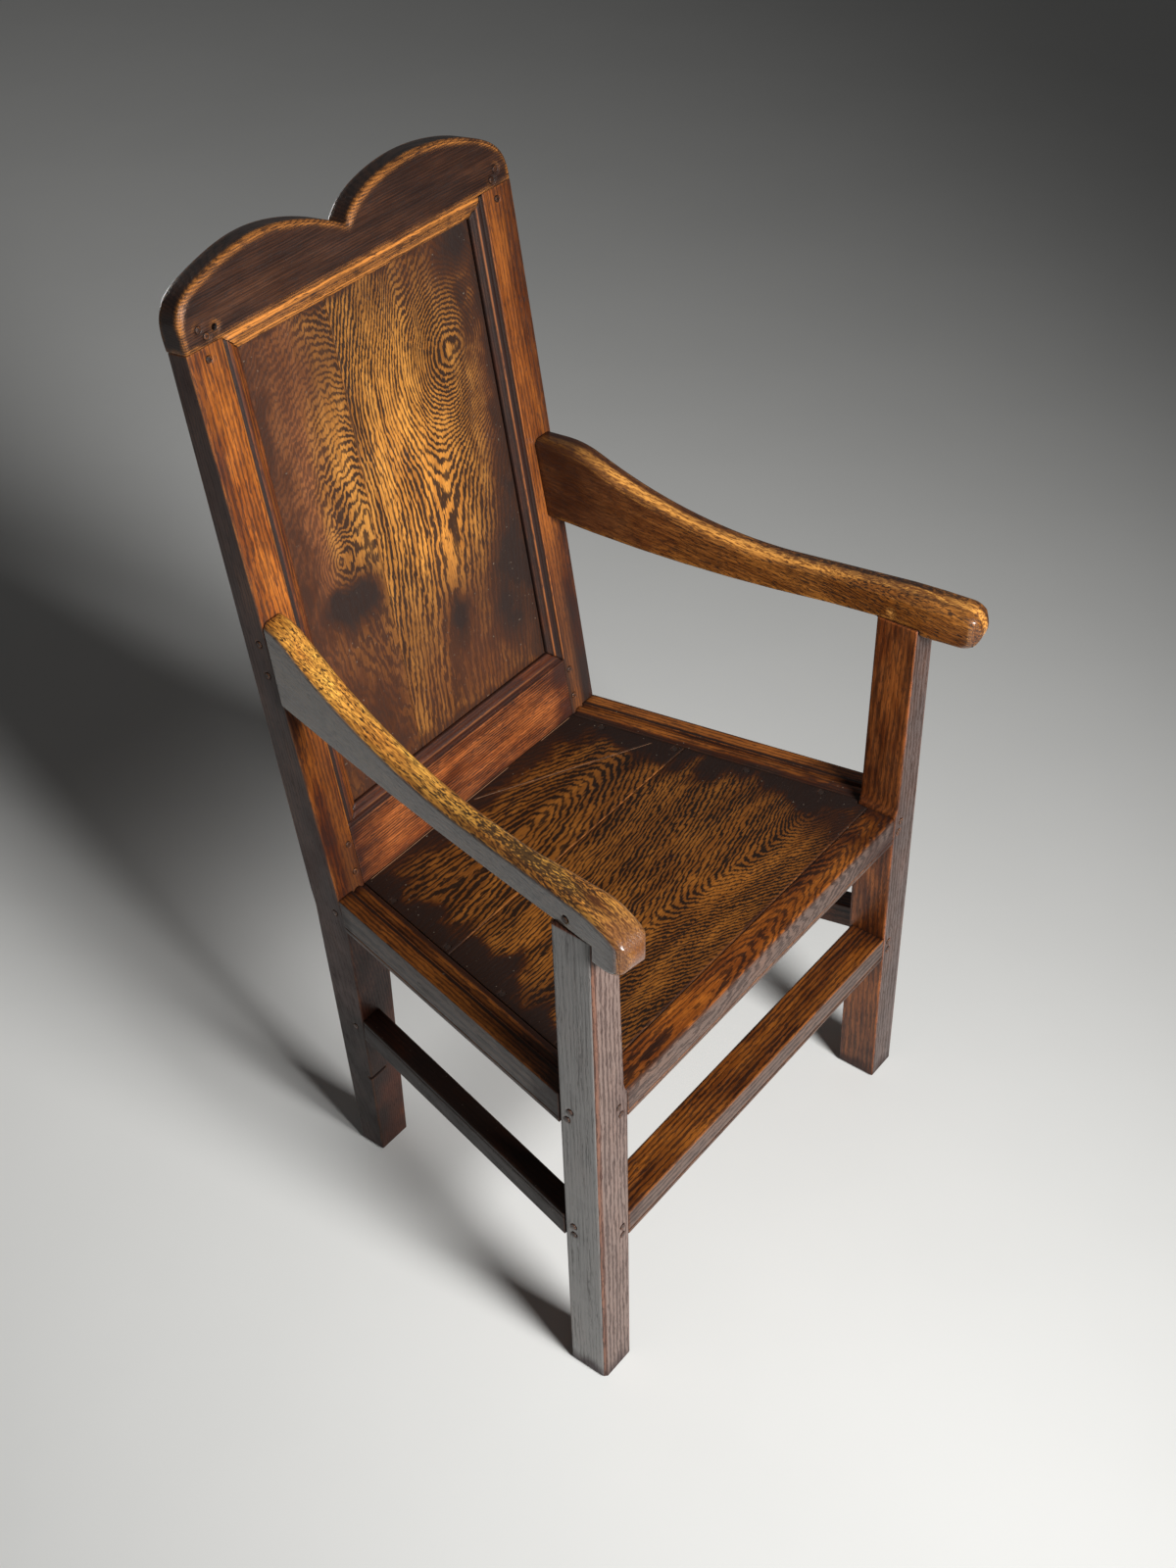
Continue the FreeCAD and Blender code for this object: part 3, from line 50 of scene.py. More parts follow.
def tone(red: float, green: float, blue: float) -> Tone:
    """A colour as it shows on a screen, 0 to 255, turned into the light it stands for.

    Args:
        red: Share of red.
        green: Share of green.
        blue: Share of blue.

    Returns:
        Linear red, green, blue and a full alpha.
    """
    def light(value: float) -> float:
        """One channel as linear light."""
        share = value / 255.0
        return share / 12.92 if share <= 0.04045 else ((share + 0.055) / 1.055) ** 2.4

    return light(red), light(green), light(blue), 1.0


def aim(turn: float, fall: float) -> Vector:
    """The way that something points.

    Args:
        turn: Its turn from straight back towards the right, in radians.
        fall: How far it points below the level, in radians.

    Returns:
        The direction.
    """
    return Vector((math.sin(turn) * math.cos(fall), math.cos(turn) * math.cos(fall), -math.sin(fall)))


class Side(Enum):
    """The two sides of the chair, with the sign of their X."""

    LEFT = -1
    RIGHT = 1

    @property
    def word(self) -> str:
        """The side's word in node names."""
        return self.name.lower()


@dataclass(frozen=True)
class Datum:
    """The planes that the pieces are measured from: front faces of the posts, seat top and leaning back."""

    front: float
    seat: float
    seat_depth: float = 0.4008
    rake: float = math.radians(8.5)
    side_turn: float = 0.1979

    def back_corner(self) -> Vector:
        """Where the leaning face of the back meets the level of the seat."""
        return Vector((0.0, self.front + self.seat_depth, self.seat))

    def back_up(self) -> Vector:
        """Up along the leaning face of the back."""
        return Vector((0.0, math.sin(self.rake), math.cos(self.rake)))

    def seat_corner(self) -> Vector:
        """The middle of the seat's front edge, at the level of its top."""
        return Vector((0.0, self.front, self.seat))

    def side_run(self, side: Side) -> Vector:
        """From front to back along a side rail."""
        return Vector((-side.value * math.sin(self.side_turn), math.cos(self.side_turn), 0.0))


DATUM = Datum(front=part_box("front_post_left")[0].y, seat=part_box("seat_board_front")[1].z)


@dataclass(frozen=True)
class Rise:
    """A smooth step from 0 at its low end to 1 at its high end."""

    low: float
    high: float

    @classmethod
    def about(cls, middle: float, soft: float) -> "Rise":
        """A step that is soft on both sides of its middle."""
        return cls(middle - soft, middle + soft)


class Sheet:
    """The nodes of one material or of the world, all added by one method."""

    OPEN_SAMPLES = 6
    EASE_SAMPLES = 4
    IOR = 1.5
    SPECULAR = 0.3

    def __init__(self, owner: bpy.types.Material | bpy.types.World) -> None:
        """Empties the owner's nodes.

        Args:
            owner: The material or world that the nodes belong to.
        """
        owner.use_nodes = True
        self.owner = owner
        self.tree = owner.node_tree
        self.tree.nodes.clear()

    def node(self, kind: str, settings: dict, sockets: dict) -> bpy.types.Node:
        """Adds a node.

        Args:
            kind: The node's type.
            settings: Its own settings, which are set first.
            sockets: Values or links of its input sockets, by name or number.

        Returns:
            The node.
        """
        made = self.tree.nodes.new(kind)
        for setting, value in settings.items():
            setattr(made, setting, value)
        for key, value in sockets.items():
            if isinstance(value, Amount):
                self.tree.links.new(value.socket, made.inputs[key])
            elif isinstance(value, Socket):
                self.tree.links.new(value, made.inputs[key])
            else:
                made.inputs[key].default_value = value
        return made

    def place(self) -> Socket:
        """The point of the surface, in metres in the chair's frame."""
        return self.node("ShaderNodeTexCoord", {}, {}).outputs["Object"]

    def scaled_place(self, scale: float) -> Socket:
        """The point of the surface, scaled for a noise that is the same in all directions."""
        return self.node("ShaderNodeVectorMath", {"operation": "SCALE"},
                         {0: self.place(), "Scale": scale}).outputs[0]

    def facing(self) -> Socket:
        """The way the surface faces."""
        return self.node("ShaderNodeNewGeometry", {}, {}).outputs["Normal"]

    def measure(self, vector: Socket, direction: Vector | Socket) -> "Amount":
        """How far a vector reaches along a direction.

        Args:
            vector: The vector's socket.
            direction: The direction or its socket, whose length scales the measure.

        Returns:
            The reach.
        """
        made = self.node("ShaderNodeVectorMath", {"operation": "DOT_PRODUCT"}, {0: vector, 1: direction})
        return Amount(self, made.outputs["Value"])

    def point(self, x: "Amount", y: "Amount", z: "Amount") -> Socket:
        """A vector from three amounts."""
        return self.node("ShaderNodeCombineXYZ", {}, {0: x, 1: y, 2: z}).outputs[0]

    def noise(self, at: Socket, detail: float = 2.0, roughness: float = 0.5) -> "Amount":
        """Smooth noise from 0 to 1 with a mean of a half.

        Args:
            at: Where it is read; one unit is about one patch.
            detail: How many finer layers are added.
            roughness: How strong the finer layers are.

        Returns:
            The noise.
        """
        made = self.node("ShaderNodeTexNoise", {"noise_dimensions": "3D"},
                         {"Vector": at, "Scale": 1.0, "Detail": detail, "Roughness": roughness})
        return Amount(self, made.outputs[0])

    def blend(self, share: "Amount | float", under: Tone | Socket, over: Tone | Socket,
              how: str = "MIX") -> Socket:
        """Lays one colour over another.

        Args:
            share: How much of the upper colour shows.
            under: The lower colour, or its socket.
            over: The upper colour, or its socket.
            how: Blender's name for the way they mix.

        Returns:
            The socket of the mixed colour.
        """
        made = self.node("ShaderNodeMix", {"data_type": "RGBA", "blend_type": how},
                         {0: share, 6: under, 7: over})
        return made.outputs[2]

    def tinted(self, colour: Socket, tint: Tone) -> Socket:
        """A colour multiplied by a tint."""
        return self.blend(1.0, colour, tint, "MULTIPLY")

    def openness(self, reach: float) -> "Amount":
        """How open the surface is within a reach in metres: 1 out in the open and less in corners."""
        made = self.node("ShaderNodeAmbientOcclusion", {"samples": self.OPEN_SAMPLES}, {"Distance": reach})
        return Amount(self, made.outputs["AO"])

    def eased_facing(self, radius: float) -> Socket:
        """The way the surface faces with its arrises eased to a radius in metres."""
        return self.node("ShaderNodeBevel", {"samples": self.EASE_SAMPLES}, {"Radius": radius}).outputs[0]

    def finish(self, colour: Socket, roughness: "Amount", height: "Amount", depth: float,
               coat: "Amount | float", facing: Socket | None = None,
               coat_roughness: float = 0.2) -> bpy.types.Material:
        """Ends the sheet in one surface shader.

        Args:
            colour: The base colour.
            roughness: The roughness.
            height: The relief, from 0 to 1.
            depth: The relief's depth in metres.
            coat: The weight of the wax over the wood.
            facing: The eased facing that the relief starts from, or none.
            coat_roughness: How dull the wax is.

        Returns:
            The material.
        """
        start = {"Normal": facing} if facing else {}
        bump = self.node("ShaderNodeBump", {},
                         {"Strength": 1.0, "Distance": depth, "Height": height, **start})
        shader = self.node("ShaderNodeBsdfPrincipled", {},
                           {"Base Color": colour, "Roughness": roughness, "Coat Weight": coat,
                            "Coat Roughness": coat_roughness, "IOR": self.IOR,
                            "Specular IOR Level": self.SPECULAR, "Normal": bump.outputs[0]})
        self.node("ShaderNodeOutputMaterial", {}, {"Surface": shader.outputs[0]})
        return self.owner


@dataclass(frozen=True)
class Amount:
    """A number that changes over a surface; plain Python sums on it add their Math nodes."""

    sheet: Sheet
    socket: Socket

    def _math(self, operation: str, *terms: "Amount | float") -> "Amount":
        """Adds one Math node on the given terms."""
        made = self.sheet.node("ShaderNodeMath", {"operation": operation}, dict(enumerate(terms)))
        return Amount(self.sheet, made.outputs[0])

    def __add__(self, other: "Amount | float") -> "Amount":
        """The sum."""
        return self._math("ADD", self, other)

    __radd__ = __add__

    def __sub__(self, other: "Amount | float") -> "Amount":
        """The difference."""
        return self._math("SUBTRACT", self, other)

    def __rsub__(self, other: float) -> "Amount":
        """The difference from a plain number."""
        return self._math("SUBTRACT", other, self)

    def __mul__(self, other: "Amount | float") -> "Amount":
        """The product."""
        return self._math("MULTIPLY", self, other)

    __rmul__ = __mul__

    def __truediv__(self, other: "Amount | float") -> "Amount":
        """The quotient."""
        return self._math("DIVIDE", self, other)

    def centred(self) -> "Amount":
        """How far it is above a half."""
        return self._math("SUBTRACT", self, 0.5)

    def size(self) -> "Amount":
        """Its distance from zero."""
        return self._math("ABSOLUTE", self)

    def sign(self) -> "Amount":
        """1 above zero and -1 below it."""
        return self._math("SIGN", self)

    def part(self) -> "Amount":
        """What is left of it past the whole number."""
        return self._math("FRACT", self)

    def root(self) -> "Amount":
        """Its square root."""
        return self._math("SQRT", self)

    def squared(self) -> "Amount":
        """Its square."""
        return self._math("MULTIPLY", self, self)

    def fading(self) -> "Amount":
        """1 where this is zero, fading to nothing as it grows."""
        return self._math("EXPONENT", self * -1.0)

    def least(self, other: "Amount | float") -> "Amount":
        """The smaller of the two."""
        return self._math("MINIMUM", self, other)

    def most(self, other: "Amount | float") -> "Amount":
        """The larger of the two."""
        return self._math("MAXIMUM", self, other)

    def step(self, rise: Rise) -> "Amount":
        """0 below the rise, 1 above it and smooth between."""
        made = self.sheet.node("ShaderNodeMapRange", {"interpolation_type": "SMOOTHSTEP"},
                               {"Value": self, "From Min": rise.low, "From Max": rise.high})
        return Amount(self.sheet, made.outputs[0])


@dataclass(frozen=True)
class Plank:
    """How a piece lies in its plank: places on it are (along, across, depth) in millimetres from a point."""

    origin: Vector
    along: Vector
    across: Vector

    def ways(self) -> tuple[Vector, Vector, Vector]:
        """The directions along, across and into the plank."""
        return self.along, self.across, self.along.cross(self.across)

    def coordinates(self, sheet: Sheet) -> tuple[Amount, Amount, Amount]:
        """The surface's place along, across and into the plank, in millimetres.

        Args:
            sheet: The material's sheet.

        Returns:
            Along, across and depth.
        """
        place = sheet.place()
        return tuple(sheet.measure(place, way * MILLI) - self.origin.dot(way) * MILLI for way in self.ways())

    def span(self, node: str) -> tuple[tuple[float, float], ...]:
        """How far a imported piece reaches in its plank.

        Args:
            node: The piece's name.

        Returns:
            Its lowest and highest place along, across and in depth, in millimetres.
        """
        points = [vertex.co - self.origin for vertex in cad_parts[node].data.vertices]
        reaches = [[point.dot(way) * MILLI for point in points] for way in self.ways()]
        return tuple((min(reach), max(reach)) for reach in reaches)


@dataclass(frozen=True)
class Heart:
    """Where the heart of the log runs under the piece and how it leans; the rings are drawn round it."""

    across: float
    depth: float
    lean: float = 0
    start: float = 0
    steep: float = 1


class Swell(Enum):
    """How the rings swell round a place: in a soft mound or an even cone with a clear foot."""

    MOUND = "mound"
    CONE = "cone"


@dataclass(frozen=True)
class Knot:
    """A swelling of the rings round a place on the piece."""

    along: float
    across: float
    long: float
    wide: float
    lift: float
    swell: Swell = Swell.MOUND


@dataclass(frozen=True)
class Climb:
    """The rings climb along the piece from a place on, so that they close in nested arches."""

    start: float
    ease: float
    slope: float
    way: float = 1


@dataclass(frozen=True)
class Stain:
    """A soft patch that is darker, lighter, redder or more pitted than the wood round it."""

    along: float
    across: float
    long: float
    wide: float
    strength: float


@dataclass(frozen=True)
class Margin:
    """A dirty margin along a straight edge, given as the edge's place, its way inwards and its width."""

    along: float
    across: float
    in_along: float
    in_across: float
    width: float
    strength: float = 1


@dataclass(frozen=True)
class Scratch:
    """A thin straight scratch between two places."""

    along: float
    across: float
    end_along: float
    end_across: float
    width: float


@dataclass(frozen=True)
class Band:
    """A strip along the grain between two places across the piece: worn pale, or dark where negative."""

    low: float
    high: float
    soft: float
    strength: float
    start: float | None = None


@dataclass(frozen=True)
class Figure:
    """What the grain of one piece does, where it is worn or dirty, and where painted shade darkens it."""

    heart: Heart
    climbs: tuple[Climb, ...] = ()
    knots: tuple[Knot, ...] = ()
    dark: tuple[Stain, ...] = ()
    bright: tuple[Stain, ...] = ()
    russet: tuple[Stain, ...] = ()
    pitted: tuple[Stain, ...] = ()
    sheltered: tuple[Stain, ...] = ()
    margins: tuple[Margin, ...] = ()
    bands: tuple[Band, ...] = ()
    scratches: tuple[Scratch, ...] = ()
    seed: float = 0
    spread: float = 1
    wave: float = 10
    ripple: float = 5


@dataclass(frozen=True)
class OakFinish:
    """Old waxed oak: colours, ring lines, pores, wear, grime, painted sheen and painted shade."""

    pale: Tone
    middle: Tone
    line: Tone
    soot: Tone = tone(30, 19, 15)
    worn: Tone = tone(190, 118, 62)
    russet: Tone = tone(122, 72, 42)
    shade: Tone = (0.24, 0.18, 0.21, 1)
    blot: Tone = (0.5, 0.4, 0.36, 1)
    # outer and front are painted sheen: greyer tones for the outward side faces and the forward faces, as if
    # reflecting the pale floor.
    outer: Tone = tone(112, 106, 103)
    front: Tone | None = None
    spacing: float = 6
    line_share: float = 0.45
    line_strength: float = 0.9
    jag: float = 3.2
    pores: float = 0.45
    pore_start: float = 0.6
    cracks: float = 0
    mottle: float = 0.75
    streaks: float = 0.7
    arris_reach: float = 0.004
    arris_turn: float = 0.16
    dull_arris: float = 0
    # How strongly grime and the painted shade in corners darken the wood.
    dirt_and_shade: float = 0.8
    wear: float = 0.6
    specks: float = 0
    # How strongly the outward faces take the painted sheen.
    painted_side_sheen: float = 0
    roughness: float = 0.4
    wax: float = 0.25
    wax_roughness: float = 0.2


@dataclass(frozen=True)
class Patches:
    """A noise drawn out along the grain: a patch's length and width in millimetres, a shift, finer layers."""

    long: float
    wide: float
    shift: float
    layers: float = 2


@dataclass(frozen=True)
class Sway:
    """How a noise strengthens something: what there is at least, and how much the noise adds."""

    least: float
    swing: float

    def of(self, noise: Amount) -> Amount:
        """The strength at a value of the noise."""
        return self.least + self.swing * noise


@dataclass(frozen=True)
class Marks:
    """How strongly ring lines and pores show through a layer."""

    lines: float
    pores: float


class Oak:
    """One piece's oak, drawn through the solid of its plank."""

    # Noises along the grain
    WAVE = Patches(150, 38, 3.1)
    RIPPLE = Patches(22, 10, 7.7)
    JAG = Patches(30, 2.2, 11.3, 1)
    TINT = Patches(90, 20, 23.9, 3)
    ROUGH = Patches(48, 34, 31.3, 5)
    TICKS = Patches(8, 1.2, 41.7, 1)
    STREAK = Patches(60, 1.6, 53.1)
    CHIPS = Patches(20, 14, 61.7, 3)
    CRACK = Patches(46, 6, 67.9)
    CRACKED = Patches(34, 12, 71.3)
    DOTS = Patches(3, 3, 83.1, 0)
    CLOUD = Patches(120, 30, 91.7, 5)
    SMALL_CLOUD = Patches(26, 9, 97.1, 4)
    # Rings, ring lines, pores and cracks
    CONE_TIP = 0.004
    CONE_FOOT = 0.0144
    LINE_TICKS = 1.2
    LINE_STREAKS = 0.8
    LINE_TINT = 0.8
    LINE_SOFT = 0.16
    LINE_SWAY = Sway(0.45, 1.1)
    PORE_STREAKS = 0.5
    PORE_PITS = 0.17
    PORE_SOFT = 0.11
    CRACK_THINNESS = 34
    CRACK_RISE = Rise(0.5, 0.66)
    # Clean wood
    TINT_RISE = Rise(0.3, 0.7)
    RUSSET_SHARE = 0.8
    RUSSET_MOST = 0.85
    RUSSET_MARKS = Marks(0.4, 0.6)
    FIBRE_RISE = Rise(0.36, 0.64)
    DARK_FIBRE = (0.55, 0.5, 0.46, 1)
    PALE_FIBRE = (1.22, 1.2, 1.14, 1)
    CLOUD_SHARE = 0.6
    CLOUD_RISE = Rise(0.38, 0.6)
    BRIGHTENED = (1.5, 1.42, 1.2, 1)
    # Painted sheen on the forward and outward faces
    FRONT_SHEEN_RISE = Rise(0.6, 0.85)
    FRONT_SHEEN_SWAY = Sway(0.7, 0.5)
    FRONT_SHEEN_MARKS = Marks(0.75, 0.5)
    SIDE_SHEEN_RISE = Rise(0.8, 0.95)
    SIDE_SHEEN_SWAY = Sway(0.8, 0.3)
    SIDE_SHEEN_MARKS = Marks(0.3, 0.25)
    SIDE_SHEEN_STREAK_START = 0.6
    SIDE_SHEEN_STREAKS = 2
    # Dirt, and painted shade in corners and crevices
    OPEN_REACH = 0.03
    STAIN_SWAY = Sway(0.4, 1.2)
    MARGIN_SWING = 2.4
    BAND_SWAY = Sway(0.35, 1.3)
    BAND_END = 2
    BEHIND_RISE = Rise(0.5, 0.8)
    CREVICE_RISE = Rise(0.28, 0.92)
    PATCH_START = 0.6
    PATCH_GAIN = 1.8
    MUTING = 0.4
    SOOT_START = 0.85
    SOOT_GAIN = 1.4
    SOOT_MOST = 0.9
    # Wear
    TURN_START = 0.015
    ARRIS_OPEN = Rise(0.62, 0.95)
    CHIP_RISE = Rise(0.38, 0.56)
    WEAR_ROUGH = Sway(0.35, 1.1)
    WEAR_STREAKS = Sway(0.6, 0.8)
    WEAR_CHIPS = Sway(0.3, 0.8)
    WEAR_UNDER_DIRT = 0.8
    STRIP_UNDER_DIRT = 0.85
    WORN_MARKS = Marks(0.6, 0.8)
    WORN_MOST = 0.92
    SCRATCH_END = 2
    SCRATCH_SWAY = Sway(0.6, 0.6)
    SCRATCH = tone(176, 130, 96)
    DOT_RISE = Rise(0.8, 0.86)
    # Colour of the pale specks: dust, and painted glints.
    DUST_AND_GLINT = tone(150, 138, 120)
    # Gloss and relief
    DULL_PORES = 0.25
    DULL_LINES = 0.06
    DULL_DIRT = 0.12
    DULL_ROUGH = 0.16
    POLISHED = 0.08
    LEVEL = 0.6
    RELIEF_ROUGH = 0.9
    RELIEF_LINES = 0.1
    RELIEF_PORES = 0.25
    RELIEF_STREAKS = 0.12
    RELIEF_DEPTH = 0.0006
    WAX_LOST = 0.5

    def __init__(self, name: str, finish: OakFinish, plank: Plank, figure: Figure) -> None:
        """Draws the material.

        Args:
            name: The material's name.
            finish: The finish that the piece shares with its neighbours.
            plank: How the piece lies in its plank.
            figure: What the grain does on this piece.
        """
        self.finish = finish
        self.figure = figure
        self.sheet = Sheet(bpy.data.materials.new(name))
        self.along, self.across, self.depth = plank.coordinates(self.sheet)
        self.facing = self.sheet.facing()
        self.eased = self.sheet.eased_facing(finish.arris_reach)
        self.openness = self.sheet.openness(self.OPEN_REACH)
        self.tint = self._noise(self.TINT)
        self.rough = self._noise(self.ROUGH)
        self.ticks = self._noise(self.TICKS)
        self.streak = self._noise(self.STREAK)
        self.nothing = self.rough * 0.0
        self.line = self._ring_lines()
        self.pore = self._pores()
        self.turned = (1.0 - self.sheet.measure(self.eased, self.facing)).step(
            Rise(self.TURN_START, finish.arris_turn))
        worn_strip, dark_strip = self._bands()
        margin = self._margins()
        self.dark = self._stains(figure.dark).most(margin).most(dark_strip)
        self.dirt_and_shade = self._dirt_and_shade()
        self.worn = self._wear().most(worn_strip * (1.0 - margin.least(1.0) * self.STRIP_UNDER_DIRT))
        self.material = self._draw()

    def _noise(self, patches: Patches) -> Amount:
        """Noise drawn out along the grain.

        Args:
            patches: The size of its patches, its shift and its finer layers.

        Returns:
            The noise, from 0 to 1.
        """
        seed = self.figure.seed + patches.shift
        thin = 1.0 / patches.wide
        at = self.sheet.point(self.along * (1.0 / patches.long) + seed, self.across * thin + seed,
                              self.depth * thin - seed)
        return self.sheet.noise(at, patches.layers)

    def _spot(self, place: Knot | Stain) -> Amount:
        """A soft oval that is 1 in its middle, or an even cone.

        Args:
            place: The knot or stain.

        Returns:
            The oval.
        """
        oval = (((self.along - place.along) / place.long).squared()
                + ((self.across - place.across) / place.wide).squared())
        if isinstance(place, Knot) and place.swell is Swell.CONE:
            inside = 1.0 - (oval + self.CONE_TIP).root()
            return (inside + (inside.squared() + self.CONE_FOOT).root()) * 0.5
        return oval.fading()

    def _rings(self) -> Amount:
        """How far out in the log the surface lies, in rings.

        Returns:
            The rings, counted from the heart.
        """
        heart = self.figure.heart
        off = self.across - ((self.along - heart.start) * heart.lean + heart.across)
        reach = (off.squared() + (self.depth - heart.depth).squared()).root() * heart.steep
        for climb in self.figure.climbs:
            run = (self.along - climb.start) * climb.way
            reach = reach + (run + (run.squared() + climb.ease ** 2).root()) * (climb.slope / 2.0)
        for knot in self.figure.knots:
            reach = reach + self._spot(knot) * knot.lift
        for patches, strength in ((self.WAVE, self.figure.wave), (self.RIPPLE, self.figure.ripple),
                                  (self.JAG, self.finish.jag)):
            reach = reach + self._noise(patches).centred() * strength
        return reach / (self.finish.spacing * self.figure.spread)

    def _ring_lines(self) -> Amount:
        """The dark line of each ring, ragged along the grain.

        Returns:
            The lines, 1 in their middle.
        """
        wave = 1.0 - (self._rings().part() * 2.0 - 1.0).size()
        ragged = (wave + self.ticks.centred() * self.LINE_TICKS + self.streak.centred() * self.LINE_STREAKS
                  + self.tint.centred() * self.LINE_TINT)
        return ragged.step(Rise.about(1.0 - self.finish.line_share, self.LINE_SOFT))

    def _pores(self) -> Amount:
        """The dark pores and the short drying cracks along the grain.

        Returns:
            The pores and cracks.
        """
        start = self.finish.pore_start
        pore = (self.ticks + self.streak.centred() * self.PORE_STREAKS
                + self._stains(self.figure.pitted) * self.PORE_PITS).step(Rise(start, start + self.PORE_SOFT))
        thin = 1.0 - (self._noise(self.CRACK).centred().size() * self.CRACK_THINNESS).least(1.0)
        cracks = thin * self._noise(self.CRACKED).step(self.CRACK_RISE) * self.finish.cracks
        return (pore * self.finish.pores).most(cracks)

    def _marked(self, marks: Marks) -> Amount:
        """How strongly ring lines and pores show through a layer."""
        return (self.line * marks.lines + self.pore * marks.pores).least(1.0)

    def _stains(self, stains: tuple[Stain, ...]) -> Amount:
        """The sum of a list of stains, broken up a little.

        Args:
            stains: The stains.

        Returns:
            Their sum.
        """
        total = self.nothing
        for stain in stains:
            total = total + self._spot(stain) * stain.strength
        return total * self.STAIN_SWAY.of(self.rough)

    def _margins(self) -> Amount:
        """How far a place lies in one of the dirty margins.

        Returns:
            The grime of the margins.
        """
        total = self.nothing
        for margin in self.figure.margins:
            inside = ((self.along - margin.along) * margin.in_along
                      + (self.across - margin.across) * margin.in_across)
            uneven = inside / margin.width + self.rough.centred() * self.MARGIN_SWING
            total = total.most((1.0 - uneven.step(Rise(0, 1))) * margin.strength)
        return total

    def _bands(self) -> tuple[Amount, Amount]:
        """The strips along the piece, which its flat back doesn't have.

        Returns:
            The worn strips and the dark strips.
        """
        worn = dark = self.nothing
        seen = 1.0 - self.sheet.measure(self.facing, BACKWARDS).step(self.BEHIND_RISE)
        for band in self.figure.bands:
            rise = self.across.step(Rise.about(band.low, band.soft))
            fall = 1.0 - self.across.step(Rise.about(band.high, band.soft))
            strip = rise * fall * abs(band.strength) * self.BAND_SWAY.of(self.rough) * seen
            if band.start is not None:
                strip = strip * self.along.step(Rise.about(band.start, self.BAND_END))
            if band.strength > 0:
                worn = worn.most(strip)
            else:
                dark = dark.most(strip)
        return worn, dark

    def _scratches(self) -> Amount:
        """Where the thin scratches run.

        Returns:
            The scratches.
        """
        total = self.nothing
        for scratch in self.figure.scratches:
            run = Vector((scratch.end_along - scratch.along, scratch.end_across - scratch.across))
            way = run.normalized()
            along, across = self.along - scratch.along, self.across - scratch.across
            past = along * way.x + across * way.y
            off = (along * way.y - across * way.x).size()
            inside = (past.step(Rise.about(0, self.SCRATCH_END))
                      * (1.0 - past.step(Rise.about(run.length, self.SCRATCH_END))))
            thin = 1.0 - off.step(Rise(0, scratch.width))
            total = total.most(thin * inside * self.SCRATCH_SWAY.of(self.rough))
        return total

    def _wood(self) -> Socket:
        """The clean wood: two tones, ring lines, pores, russet places, fibres, clouds and pale places.

        Returns:
            The socket of its colour.
        """
        sheet, finish = self.sheet, self.finish
        colour = sheet.blend(self.tint.step(self.TINT_RISE), finish.pale, finish.middle)
        lines = (self.line * finish.line_strength * self.LINE_SWAY.of(self.tint)).least(1.0)
        colour = sheet.blend(lines, colour, finish.line)
        colour = sheet.blend(self.pore, colour, finish.soot)
        ruddy = sheet.blend(self._marked(self.RUSSET_MARKS), finish.russet, finish.line)
        share = (self._stains(self.figure.russet) * self.RUSSET_SHARE).least(self.RUSSET_MOST)
        colour = sheet.blend(share, colour, ruddy)
        streaked = sheet.blend(self.streak.step(self.FIBRE_RISE), sheet.tinted(colour, self.DARK_FIBRE),
                               sheet.tinted(colour, self.PALE_FIBRE))
        colour = sheet.blend(finish.streaks, colour, streaked)
        clouds = (self._noise(self.CLOUD) * self.CLOUD_SHARE
                  + self._noise(self.SMALL_CLOUD) * (1.0 - self.CLOUD_SHARE))
        cloud = 1.0 - clouds.step(self.CLOUD_RISE)
        colour = sheet.blend(cloud * finish.mottle, colour, sheet.tinted(colour, finish.blot))
        bright = self._stains(self.figure.bright).least(1.0)
        return sheet.blend(bright, colour, sheet.tinted(colour, self.BRIGHTENED))

    def _painted_sheen(self, colour: Socket) -> Socket:
        """Paints sheen as greyer tones on the forward faces and on the faces that look out to the sides.

        Args:
            colour: The clean wood.

        Returns:
            The wood with its painted sheen.
        """
        sheet, finish = self.sheet, self.finish
        # Painted sheen: forward faces take the greyer front tone, as if reflecting the pale floor in front.
        if finish.front:
            front_sheen_mask = sheet.measure(self.facing, -BACKWARDS).step(self.FRONT_SHEEN_RISE)
            front_sheen = sheet.blend(self._marked(self.FRONT_SHEEN_MARKS), finish.front, finish.line)
            colour = sheet.blend(front_sheen_mask * self.FRONT_SHEEN_SWAY.of(self.rough).least(1.0), colour, front_sheen)
        # Painted sheen: faces that look out to the sides take the grey outer tone, as if reflecting floor and
        # surroundings.
        if finish.painted_side_sheen:
            side = sheet.measure(sheet.place(), ACROSS).sign()
            side_sheen_mask = (sheet.measure(self.facing, ACROSS) * side).step(self.SIDE_SHEEN_RISE)
            fibres = (self.streak - self.SIDE_SHEEN_STREAK_START) * self.SIDE_SHEEN_STREAKS
            marks = self.line * self.SIDE_SHEEN_MARKS.lines + self.pore * self.SIDE_SHEEN_MARKS.pores + fibres
            side_sheen_tone = sheet.blend(marks.least(1.0).most(0.0), finish.outer, finish.soot)
            colour = sheet.blend(side_sheen_mask * finish.painted_side_sheen * self.SIDE_SHEEN_SWAY.of(self.rough).least(1.0),
                                 colour, side_sheen_tone)
        return colour

    def _dirt_and_shade(self) -> Amount:
        """Painted shade and grime in corners and crevices, the dark places, and loose patches of grime.

        Returns:
            The grime and painted shade.
        """
        # Painted shade: ambient occlusion darkens corners, crevices and joints between parts, with the grime
        # that lies there.
        crevice = (1.0 - self.openness.step(self.CREVICE_RISE)) * self.finish.dirt_and_shade
        patches = (self.rough - self.PATCH_START) * self.PATCH_GAIN * self.finish.dirt_and_shade
        return crevice.most(self.dark).most(patches)

